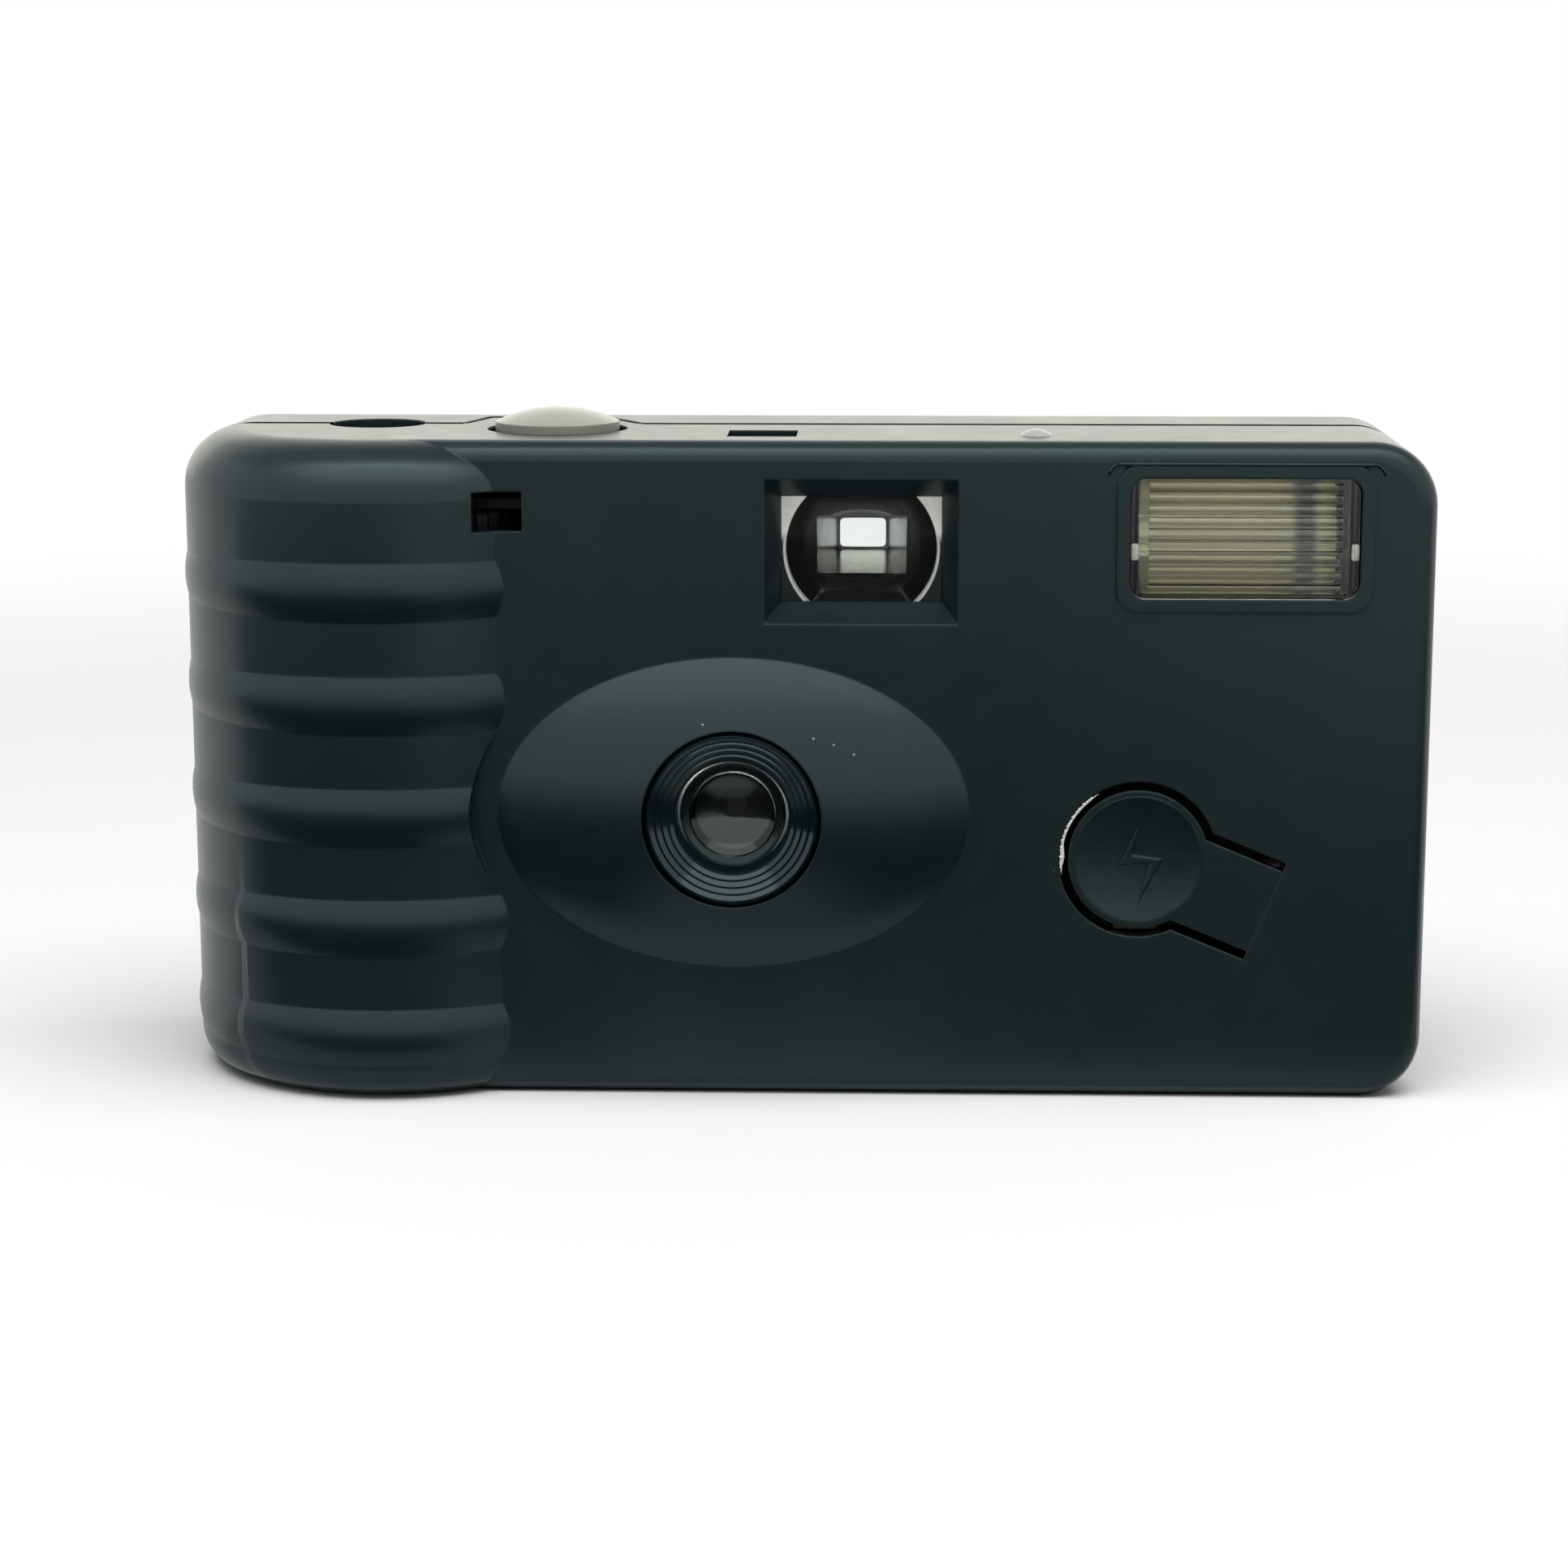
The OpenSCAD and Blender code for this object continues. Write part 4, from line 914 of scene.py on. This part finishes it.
def loft(name: str, rings: np.ndarray, material: bpy.types.Material) -> bpy.types.Object:
    """Closes a skin over a row of closed rings.

    Each ring joins the next by four-sided faces, and one face closes each end.

    Args:
        name: the piece's name.
        rings: points in millimetres, by ring, by place on the ring, by axis.
        material: the finish.

    Returns:
        The new piece, at the origin.
    """
    count, points = rings.shape[:2]
    index = np.arange(count * points).reshape(count, points)
    ahead = np.roll(index, -1, axis=1)
    sides = np.stack([index[:-1], ahead[:-1], ahead[1:], index[1:]], axis=-1).reshape(-1, 4)
    mesh = bpy.data.meshes.new(name)
    ends = [index[0].tolist(), index[-1].tolist()]
    mesh.from_pydata((rings.reshape(-1, 3) * MM).tolist(), [], sides.tolist() + ends)
    shell = bmesh.new()
    shell.from_mesh(mesh)
    bmesh.ops.remove_doubles(shell, verts=shell.verts, dist=1e-7)
    bmesh.ops.recalc_face_normals(shell, faces=shell.faces)
    shell.to_mesh(mesh)
    shell.free()
    mesh.polygons.foreach_set("use_smooth", np.ones(len(mesh.polygons), dtype=bool))
    mesh.set_sharp_from_angle(angle=math.radians(38.0))
    mesh.materials.append(material)
    piece = bpy.data.objects.new(name, mesh)
    bpy.context.scene.collection.objects.link(piece)
    log.info("%s: %d faces", name, len(mesh.polygons))
    return piece


class Lie(Enum):
    """Which way a coil spring stands."""

    UP = 2
    BACK = 1


@dataclass
class CoilSpring:
    """Coil of round wire in place of the plain ring of the CAD model.

    Attributes:
        node: the node that it replaces.
        foot: middle of the coil's first end, in millimetres.
        lie: which way it stands.
        length: from end to end.
        coil_r: radius of the wire's middle.
        wire_r: radius of the wire.
        turns: number of turns.
        flat: turns that lie flat at each end.
    """

    node: str
    foot: tuple[float, float, float]
    lie: Lie
    length: float
    coil_r: float
    wire_r: float
    turns: float
    flat: float = 0.0

    def build(self, material: bpy.types.Material) -> bpy.types.Object:
        """Makes the coil, which rides on the camera's body.

        Args:
            material: the finish.

        Returns:
            The coil.
        """
        piece = loft(self.node + "_coil", self.rings(), material)
        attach(piece, "body")
        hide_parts(self.node)
        return piece

    def rings(self) -> np.ndarray:
        """Circles round a line that turns about the axis and climbs evenly between its flat ends.

        Returns:
            Points in millimetres, by ring, by place on the ring, by axis.
        """
        turn = np.linspace(0.0, self.turns, int(self.turns * 30) + 1)[:, None]
        climb = np.clip((turn - self.flat) / (self.turns - 2.0 * self.flat), 0.0, 1.0)
        around = np.linspace(0.0, 2.0 * np.pi, 10, endpoint=False)[None, :]
        out = self.coil_r + self.wire_r * np.cos(around)
        free = self.length - 2.0 * self.wire_r
        along = self.wire_r + climb * free + self.wire_r * np.sin(around)
        angle = 2.0 * np.pi * turn
        first, second = out * np.cos(angle), out * np.sin(angle)
        axes = (first, second, along) if self.lie is Lie.UP else (first, along, second)
        return np.stack(axes, axis=-1) + np.array(self.foot)


@dataclass
class ChargeTab:
    """Smooth dish and flash sign of the charge tab, and the torn burr beside its slot.

    Attributes:
        middle: middle of the tab's disc in x and z, in millimetres.
        dish: depth of the disc's dish.
        dish_r: radius of the dish.
        skin: front and back of the smooth dish, from the disc's own.
        relief: height of the sign.
        bevel: width of the sign's sloping edge.
        root: how deep the sign's underside lies in the disc.
        left_edge: the sign's left edge from top to bottom, from the disc's middle.
        right_edge: its right edge.
        burr_from, burr_to: angles in degrees between which the burr runs.
        burr_r: radius at which it runs.
    """

    middle: tuple[float, float] = (31.65, 22.7)
    dish: float = 0.5
    dish_r: float = 6.0
    skin: tuple[float, float] = (-0.03, 0.06)
    relief: float = 0.28
    bevel: float = 0.22
    root: float = 0.12
    left_edge: Places = ((-0.02, 3.12), (-1.82, -0.64), (0.85, -0.53), (-0.06, -4.46))
    right_edge: Places = ((0.02, 3.12), (-0.35, 0.45), (2.39, 0.09), (-0.02, -4.46))
    burr_from: float = 121.0
    burr_to: float = 192.0
    burr_r: float = 7.14

    def build(self, cover: bpy.types.Material, torn: bpy.types.Material) -> None:
        """Makes the dish and sign, which ride on the tab, and the burr, which rides on the body.

        Args:
            cover: finish of the covers.
            torn: finish of the burr.
        """
        made = {
            "tab_dish": (self.dish_rings(), cover, "tab"),
            "flash_sign": (self.sign_rings(), cover, "tab"),
            "slot_burr": (self.burr_rings(), torn, "body"),
        }
        for name, (rings, material, body) in made.items():
            piece = loft(name, rings, material)
            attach(piece, body)

    def dish_rings(self) -> np.ndarray:
        """Circles that follow the hollow of the disc outwards and come back just under it.

        Returns:
            Points in millimetres, by ring, by place on the ring, by axis.
        """
        out = np.linspace(0.0, self.dish_r - 0.05, 30)
        radius = np.concatenate([out, out[::-1]])[:, None]
        sunk = np.repeat(self.skin, len(out))[:, None]
        around = np.linspace(0.0, 2.0 * np.pi, 72, endpoint=False)[None, :]
        x = self.middle[0] + radius * np.cos(around)
        z = self.middle[1] + radius * np.sin(around)
        y = FACE_Y + self.dish * (1.0 - (radius / self.dish_r) ** 2) + sunk
        return np.stack([x, y + 0.0 * x, z], axis=-1)

    def sign_rings(self) -> np.ndarray:
        """Rows from the left edge to the right one and back underneath.

        The height grows from 0 at the edges to the relief over the bevel.

        Returns:
            Points in millimetres, by ring, by place on the ring, by axis.
        """
        along = np.linspace(0.0, 3.0, 61)
        left, right = (
            np.stack([np.interp(along, np.arange(4), axis) for axis in np.array(edge).T], axis=-1)
            for edge in (self.left_edge, self.right_edge)
        )
        across = np.linspace(0.0, 1.0, 25)
        flat = left[:, None] + (right - left)[:, None] * across[None, :, None]
        width = np.linalg.norm(right - left, axis=-1)[:, None]
        inside = np.minimum(across, 1.0 - across)[None, :] * width * 0.75
        ends = np.minimum(along, 3.0 - along)[:, None] * 3.0
        height = self.relief * np.minimum(1.0, np.minimum(inside, ends) / self.bevel)
        bed = FACE_Y + self.dish * (1.0 - np.sum(flat**2, axis=-1) / self.dish_r**2)
        x, z = flat[..., 0] + self.middle[0], flat[..., 1] + self.middle[1]
        upper = np.stack([x, bed - height, z], axis=-1)
        under = upper.copy()
        under[..., 1] = bed + self.root
        return np.concatenate([upper, under[:, ::-1]], axis=1)

    def burr_rings(self) -> np.ndarray:
        """Flattened circles along an arc; their size swings with three sines and ends in points.

        Returns:
            Points in millimetres, by ring, by place on the ring, by axis.
        """
        angle = np.radians(np.linspace(self.burr_from, self.burr_to, 141))[:, None]
        share = np.linspace(0.0, 1.0, 141)[:, None]
        waves = np.sin(angle * np.array([57.0, 91.0, 139.0]) + np.array([0.0, 1.0, 2.0]))
        swing = np.sum(waves, axis=1, keepdims=True) / 3.0
        blob = np.exp(-(((share - 0.8) / 0.1) ** 2))
        points = np.minimum(1.0, np.minimum(share, 1.0 - share) * 8.0 + 0.02)
        size = (0.13 + 0.05 * swing + 0.09 * blob) * points
        around = np.linspace(0.0, 2.0 * np.pi, 10, endpoint=False)[None, :]
        radius = self.burr_r - 0.16 * blob + 0.04 * swing + size * np.cos(around)
        x = self.middle[0] + radius * np.cos(angle)
        z = self.middle[1] + radius * np.sin(angle)
        y = FACE_Y + 0.05 + size * 1.2 * np.sin(around)
        return np.stack([x, y, z], axis=-1)


@dataclass
class FlashTrim:
    """Moulded line over the flash pad and the clear nibs beside the window.

    Attributes:
        middle: middle of the flash window in x and z, in millimetres.
        half: half length of the line's straight part.
        rise: height of the line over the middle.
        bend: radius of its bent ends.
        bead: radius of the line.
        pad_lift: how far the pad under the line stands out.
        pad_half: half width of the pad's flat part.
        pad_fall: width over which the pad falls back to the face.
        nib_out: distance of a nib from the middle.
        nib_drop: how far a nib lies below the middle.
        nib_size: a nib's width and height.
    """

    middle: tuple[float, float] = (40.8, 52.35)
    half: float = 11.3
    rise: float = 6.74
    bend: float = 1.1
    bead: float = 0.18
    pad_lift: float = 0.36
    pad_half: float = 11.2
    pad_fall: float = 0.6
    nib_out: float = 9.95
    nib_drop: float = 1.25
    nib_size: tuple[float, float] = (0.72, 1.5)

    def build(self, cover: bpy.types.Material, clear: bpy.types.Material) -> None:
        """Makes the line and both nibs, which ride on the body.

        Args:
            cover: finish of the line.
            clear: finish of the nibs.
        """
        made = {"pad_line": (self.line_rings(), cover, "cover_black")}
        for side, name in ((-1.0, "window_nib_left"), (1.0, "window_nib_right")):
            made[name] = (self.nib_rings(side), clear, "clear_plastic")
        for name, (rings, material, slot) in made.items():
            piece = loft(name, rings, material)
            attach(piece, "body")

    def line_rings(self) -> np.ndarray:
        """Circles along a straight line whose ends bend down through a quarter circle.

        Returns:
            Points in millimetres, by ring, by place on the ring, by axis.
        """
        quarter = np.linspace(0.0, np.pi / 2.0, 12)
        drop = self.bend * (np.cos(quarter) - 1.0)
        right = np.stack([self.half + self.bend * np.sin(quarter), drop], axis=-1)
        left = right[::-1] * np.array([-1.0, 1.0])
        over = np.array([self.middle[0], self.middle[1] + self.rise])
        path = np.concatenate([left, right]) + over
        ahead = np.gradient(path, axis=0)
        ahead /= np.linalg.norm(ahead, axis=-1, keepdims=True)
        share = np.linspace(-1.0, 1.0, len(path))[:, None]
        size = self.bead * np.clip((1.02 - np.abs(share)) * 6.0, 0.1, 1.0)
        out = np.abs(path[:, :1] - self.middle[0])
        fallen = np.clip((out - self.pad_half) / self.pad_fall, 0.0, 1.0)
        depth = FACE_Y - self.pad_lift + self.pad_lift * fallen
        around = np.linspace(0.0, 2.0 * np.pi, 12, endpoint=False)[None, :]
        x = path[:, :1] - size * np.cos(around) * ahead[:, 1:]
        z = path[:, 1:] + size * np.cos(around) * ahead[:, :1]
        return np.stack([x, depth + size * np.sin(around), z], axis=-1)

    def nib_rings(self, side: float) -> np.ndarray:
        """Rounded rectangles that shrink a little towards the front.

        Args:
            side: -1 for the left nib, 1 for the right one.

        Returns:
            Points in millimetres, by ring, by place on the ring, by axis.
        """
        around = np.linspace(0.0, 2.0 * np.pi, 32, endpoint=False)[None, :]
        cos, sin = np.cos(around), np.sin(around)
        square = [np.sign(wave) * np.abs(wave) ** 0.4 for wave in (cos, sin)]
        depth = np.array([0.5, 0.2, 0.12, 0.08])[:, None]
        shrink = np.array([1.0, 1.0, 0.94, 0.8])[:, None]
        x = self.middle[0] + side * self.nib_out + shrink * square[0] * self.nib_size[0] / 2.0
        z = self.middle[1] - self.nib_drop + shrink * square[1] * self.nib_size[1] / 2.0
        return np.stack([x, FACE_Y + depth + 0.0 * x, z], axis=-1)


@dataclass
class HollowLens:
    """Taking lens with a hollow front, in the seat of the CAD lens.

    Attributes:
        axis: the lens axis in x and z, in millimetres.
        front_r: radius of the hollow front.
        back_r: radius of the bulging back.
        clear: radius of the polished part.
        seat: radius of the rim in its seat.
        rim: front and back of that rim, from the front face.
        deepest: depth of the front's middle.
    """

    axis: tuple[float, float] = (-5.6, 26.8)
    front_r: float = 6.4
    back_r: float = 9.0
    clear: float = 3.9
    seat: float = 5.0
    rim: tuple[float, float] = (0.6, 2.1)
    deepest: float = 1.0

    def build(self, material: bpy.types.Material) -> None:
        """Makes the lens, which rides on the body.

        Args:
            material: the finish.
        """
        piece = loft("hollow_lens", self.rings(), material)
        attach(piece, "body")
        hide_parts("taking_lens")

    def rings(self) -> np.ndarray:
        """The lens's section turned about its axis: an arc, the stepped rim, and the back's arc.

        Returns:
            Points in millimetres, by ring, by place on the ring, by axis.
        """
        radius = np.linspace(0.0, self.clear, 40)
        front = np.stack([radius, self.deepest - self.sag(radius, self.front_r)], axis=-1)
        bulge = self.sag(self.clear, self.back_r) - self.sag(radius, self.back_r)
        back = np.stack([radius, self.rim[1] + bulge], axis=-1)
        ahead, behind = self.rim
        step = np.array([[self.clear, ahead], [self.seat, ahead], [self.seat, behind]])
        section = np.concatenate([front, step, back[::-1]])[:, None]
        around = np.linspace(0.0, 2.0 * np.pi, 96, endpoint=False)[None, :]
        x = self.axis[0] + section[..., 0] * np.cos(around)
        z = self.axis[1] + section[..., 0] * np.sin(around)
        return np.stack([x, FACE_Y + section[..., 1] + 0.0 * x, z], axis=-1)

    def sag(self, radius: np.ndarray, sphere: float) -> np.ndarray:
        """How far a sphere falls away at a radius."""
        return sphere - np.sqrt(sphere**2 - radius**2)


@dataclass
class BackRelief:
    """Raised panel and thumb rest that are moulded on the back.

    Attributes:
        face: depth of the back face in millimetres.
        panel: middle of the panel in x and z.
        half: half width and half height of the panel.
        corner: radius of its corners.
        rest: x and z of the thumb rest's middle.
        ribs: number of ribs of the rest.
        pitch: distance from rib to rib.
        rib: half width and half height of a rib.
        lift: how far a rib stands out.
        sunk: how deep panel and ribs start in the wall.
    """

    face: float = FACE_Y + 28.0
    panel: tuple[float, float] = (10.0, 24.5)
    half: tuple[float, float] = (40.0, 17.5)
    corner: float = 4.0
    rest: tuple[float, float] = (-41.5, 28.0)
    ribs: int = 6
    pitch: float = 2.3
    rib: tuple[float, float] = (0.65, 8.0)
    lift: float = 0.45
    sunk: float = 0.06

    def build(self, material: bpy.types.Material) -> None:
        """Makes the panel and the ribs, which ride on the body.

        Args:
            material: the finish.
        """
        made = {"back_panel": self.panel_rings()}
        for k in range(self.ribs):
            x = self.rest[0] + (k - (self.ribs - 1) / 2.0) * self.pitch
            made[f"thumb_rib_{k + 1}"] = self.rib_rings(x)
        for name, rings in made.items():
            piece = loft(name, rings, material)
            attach(piece, "body")

    def outline(self, half: np.ndarray, corner: np.ndarray) -> np.ndarray:
        """Rounded rectangles: four quarter circles about the corners' middles, by ring.

        Args:
            half: half width and half height, by ring.
            corner: radius of the corners, by ring.

        Returns:
            Points, by ring, by place on the ring, by axis.
        """
        angle = np.linspace(0.0, np.pi / 2.0, 9)[None, :] + np.arange(4)[:, None] * np.pi / 2.0
        signs = np.array([[1.0, 1.0], [-1.0, 1.0], [-1.0, -1.0], [1.0, -1.0]])
        turn = np.stack([np.cos(angle), np.sin(angle)], axis=-1)
        middles = signs[None, :, None, :] * (half - corner[:, None])[:, None, None, :]
        return (middles + corner[:, None, None, None] * turn[None]).reshape(len(half), -1, 2)

    def panel_rings(self) -> np.ndarray:
        """Outlines that climb a low bead at the panel's edge and come down to its flat middle.

        Returns:
            Points in millimetres, by ring, by place on the ring, by axis.
        """
        inset = np.array([0.0, 0.06, 0.3, 0.8, 1.05, 1.15])
        height = np.array([-self.sunk, 0.12, 0.24, 0.24, 0.13, 0.09])
        flat = self.outline(np.array(self.half) - inset[:, None], self.corner - inset)
        y = np.broadcast_to(self.face + height[:, None], flat.shape[:2])
        return np.stack([flat[..., 0] + self.panel[0], y, flat[..., 1] + self.panel[1]], axis=-1)

    def rib_rings(self, x: float) -> np.ndarray:
        """Long outlines that shrink as a quarter ellipse towards the rib's crest.

        Args:
            x: place of the rib.

        Returns:
            Points in millimetres, by ring, by place on the ring, by axis.
        """
        share = np.linspace(0.0, 1.0, 8)
        shrink = self.rib[0] * 0.9 * (1.0 - np.sqrt(1.0 - (share * 0.98) ** 2))
        flat = self.outline(np.array(self.rib) - shrink[:, None], (self.rib[0] - shrink) * 0.98)
        depth = self.face - self.sunk + share[:, None] * (self.lift + self.sunk)
        y = np.broadcast_to(depth, flat.shape[:2])
        return np.stack([flat[..., 0] + x, y, flat[..., 1] + self.rest[1]], axis=-1)


class Studio:
    """Pale floor, white surround, soft lamps and the camera at the photograph's angle."""

    CAMERA_MM = (9.982, -333.561, 92.510)
    TARGET_MM = (0.989, -11.85, 27.498)
    LENS_MM = 82.014
    SHIFT = (-0.01317, 0.01435)
    # Place, aim, size in metres, watts and colour of each lamp
    KEY = ((0.05, -0.22, 0.80), (0.0, -0.02, 0.03), (1.0, 0.6), 8.3, (1.0, 1.0, 1.0))
    BACK = ((0.0, 0.95, 0.26), (0.0, 0.0, 0.05), (1.8, 0.45), 1.85, (1.0, 0.99, 0.76))
    # Left and right end, depths and heights of the two long edges in metres, and glow
    PLAIN_CARDS = {
        "top_flag": (-1.5, 1.5, 1.0, -0.1, 1.2, 1.2, 0.5),
        "soft_box": (-0.7, 0.7, -0.15, -0.75, 0.8, 0.7, 2.1),
        "strip": (-0.4, 0.4, -0.24, -0.26, 0.78, 0.78, 14.0),
    }
    FLOOR_CARD = (-0.5, 0.5, -1.0, -0.004, 0.001, 0.001)
    CARD_WHITE = (1.0, 1.0, 0.97)

    def build(self) -> None:
        """Builds the whole studio."""
        scene = bpy.context.scene
        scene.view_settings.view_transform = "Standard"
        self.camera(scene)
        self.surround(scene)
        self.floor()
        self.flags()
        key = self.lamp("key_box", *self.KEY)
        key.visible_glossy = False
        self.lamp("back_box", *self.BACK)

    def camera(self, scene: bpy.types.Scene) -> None:
        """Looks from the camera's place to its target, with the small shift of the framing.

        Args:
            scene: the scene that gets the camera.
        """
        data = bpy.data.cameras.new("view")
        data.lens = self.LENS_MM
        data.sensor_width = 36.0
        data.shift_x, data.shift_y = self.SHIFT
        data.clip_start = 0.01
        data.clip_end = 50.0
        camera = bpy.data.objects.new("view", data)
        scene.collection.objects.link(camera)
        start = Vector(self.CAMERA_MM) * MM
        camera.matrix_world = self.aimed(start, Vector(self.TARGET_MM) * MM)
        scene.camera = camera

    def surround(self, scene: bpy.types.Scene) -> None:
        """White where it is seen, mirrored or looked at through plastic; softer as a light.

        Args:
            scene: the scene that gets the surround.
        """
        world = bpy.data.worlds.new("surround")
        world.use_nodes = True
        graph = Graph(world.node_tree)
        dim = graph.node("ShaderNodeBackground", {}, {"Color": (0.95, 0.98, 1.0), "Strength": 0.3})
        white = graph.node("ShaderNodeBackground", {}, {"Color": (1.0, 1.0, 1.0), "Strength": 1.0})
        mixed = graph.blend(self.seen(graph), dim, white)
        graph.node("ShaderNodeOutputWorld", {}, {"Surface": mixed})
        scene.world = world

    def seen(self, graph: Graph) -> Field:
        """1 for camera, glossy and transmission rays, 0 for others."""
        rays = [
            graph.node("ShaderNodeLightPath", {}, {}, name)
            for name in ("Is Camera Ray", "Is Glossy Ray", "Is Transmission Ray")
        ]
        return rays[0].most(rays[1]).most(rays[2])

    def floor(self) -> None:
        """A wide pale plane that keeps the shadow and turns white with distance."""
        material, graph = new_material("pale_floor")
        x, y, _ = graph.axes()
        far = ((x**2.0 + y**2.0).root()).ramp(170.0, 420.0)
        diffuse = graph.node("ShaderNodeBsdfDiffuse", {}, {"Color": (0.85, 0.85, 0.84)})
        glow = graph.node("ShaderNodeEmission", {}, {"Color": (1.0, 1.0, 1.0), "Strength": 1.0})
        graph.output(graph.blend(far * self.seen(graph), diffuse, glow))
        self.card("floor", material, (-6.0, 6.0, -6.0, 6.0, 0.0, 0.0))

    def flags(self) -> None:
        """Cards that show only in reflections and through clear plastic.

        The card on the floor is dark and grows paler with distance and towards the right. The one
        overhead is grey. A soft pale one and a thin bright strip hang high in front.
        """
        cards = {"floor_flag": (self.FLOOR_CARD, self.floor_glow())}
        for name, (*edges, strength) in self.PLAIN_CARDS.items():
            plain, graph = new_material(name)
            glow = {"Color": self.CARD_WHITE, "Strength": strength}
            graph.output(graph.node("ShaderNodeEmission", {}, glow))
            cards[name] = (edges, plain)
        for name, (edges, finish) in cards.items():
            card = self.card(name, finish, edges)
            card.visible_camera = False
            card.visible_diffuse = False
            card.visible_shadow = False

    def floor_glow(self) -> bpy.types.Material:
        """Glow of the card on the floor: by the foot, under the dome and in the distance.

        Returns:
            The finished material.
        """
        material, graph = new_material("dark_card")
        x, y, _ = graph.axes()
        foot = y.ramp(-27.0, -20.0) * 0.5
        under_dome = abs(x + 5.0).ramp(24.0, 10.0) * y.ramp(-55.0, -40.0) * 0.4
        far = y.ramp(-70.0, -200.0) * 0.10 + y.ramp(-250.0, -900.0) * 0.15
        far = far * (0.8 + x.ramp(25.0, 80.0) * 4.0)
        share = foot.most(under_dome).most(far)
        glow = graph.mix(share, (0.006, 0.008, 0.008), (0.96, 1.0, 1.0))
        graph.output(graph.node("ShaderNodeEmission", {}, {"Color": glow, "Strength": 1.0}))
        return material

    def card(
        self, name: str, material: bpy.types.Material, edges: Sequence[float]
    ) -> bpy.types.Object:
        """Makes a flat staged card.

        Args:
            name: the card's name.
            material: its finish.
            edges: left and right end, then depths and heights of the two long edges, in metres.

        Returns:
            The card.
        """
        left, right, y0, y1, z0, z1 = edges
        corners = [(left, y0, z0), (right, y0, z0), (right, y1, z1), (left, y1, z1)]
        mesh = bpy.data.meshes.new(name)
        mesh.from_pydata(corners, [], [[0, 1, 2, 3]])
        mesh.materials.append(material)
        card = bpy.data.objects.new(name, mesh)
        bpy.context.scene.collection.objects.link(card)
        card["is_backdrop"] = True
        return card

    def aimed(self, place: Vector, aim: Vector) -> Matrix:
        """Matrix of a thing at a place that looks at an aim."""
        turn = (aim - place).to_track_quat("-Z", "Y")
        return Matrix.Translation(place) @ turn.to_matrix().to_4x4()

    def lamp(
        self,
        name: str,
        place: Sequence[float],
        aim: Sequence[float],
        size: tuple[float, float],
        watts: float,
        colour: RGB,
    ) -> bpy.types.Object:
        """Adds a soft rectangular lamp that looks from a place to an aim and isn't seen itself.

        Args:
            name: the lamp's name.
            place: where it stands, in metres.
            aim: what it looks at.
            size: its width and height.
            watts: its power.
            colour: its colour.

        Returns:
            The lamp.
        """
        data = bpy.data.lights.new(name, "AREA")
        data.shape = "RECTANGLE"
        data.size, data.size_y = size
        data.energy = watts
        data.color = colour
        lamp = bpy.data.objects.new(name, data)
        bpy.context.scene.collection.objects.link(lamp)
        lamp.matrix_world = self.aimed(Vector(place), Vector(aim))
        return lamp


def main() -> None:
    """Loads the camera, dresses it, builds its pieces and the studio."""
    logging.basicConfig(level=logging.INFO, format="%(name)s: %(message)s")
    frame = Frame()
    finishes = Finishes()
    frame.dress_all(finishes)
    ChargeTab().build(finishes[Slot.COVER], finishes.torn)
    FlashTrim().build(finishes[Slot.GLOSS], finishes.milky)
    BackRelief().build(finishes[Slot.COVER])
    HollowLens().build(finishes.lens)
    springs = (
        CoilSpring(
            "button_spring",
            (-22.5, FACE_Y + 9.5, 55.1),
            Lie.UP,
            length=3.4,
            coil_r=2.5,
            wire_r=0.2,
            turns=4.2,
            flat=0.6,
        ),
        CoilSpring(
            "striker_spring",
            (-13.5, FACE_Y + 17.002, 49.6),
            Lie.UP,
            length=2.6,
            coil_r=1.7,
            wire_r=0.2,
            turns=5.0,
        ),
        CoilSpring(
            "shutter_spring",
            (-15.0, FACE_Y + 6.65, 40.0),
            Lie.BACK,
            length=0.5,
            coil_r=1.4,
            wire_r=0.08,
            turns=2.0,
        ),
    )
    coils = [spring.build(finishes[Slot.STEEL]) for spring in springs]
    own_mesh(coils[0])
    Studio().build()


if __name__ == "__main__":
    main()
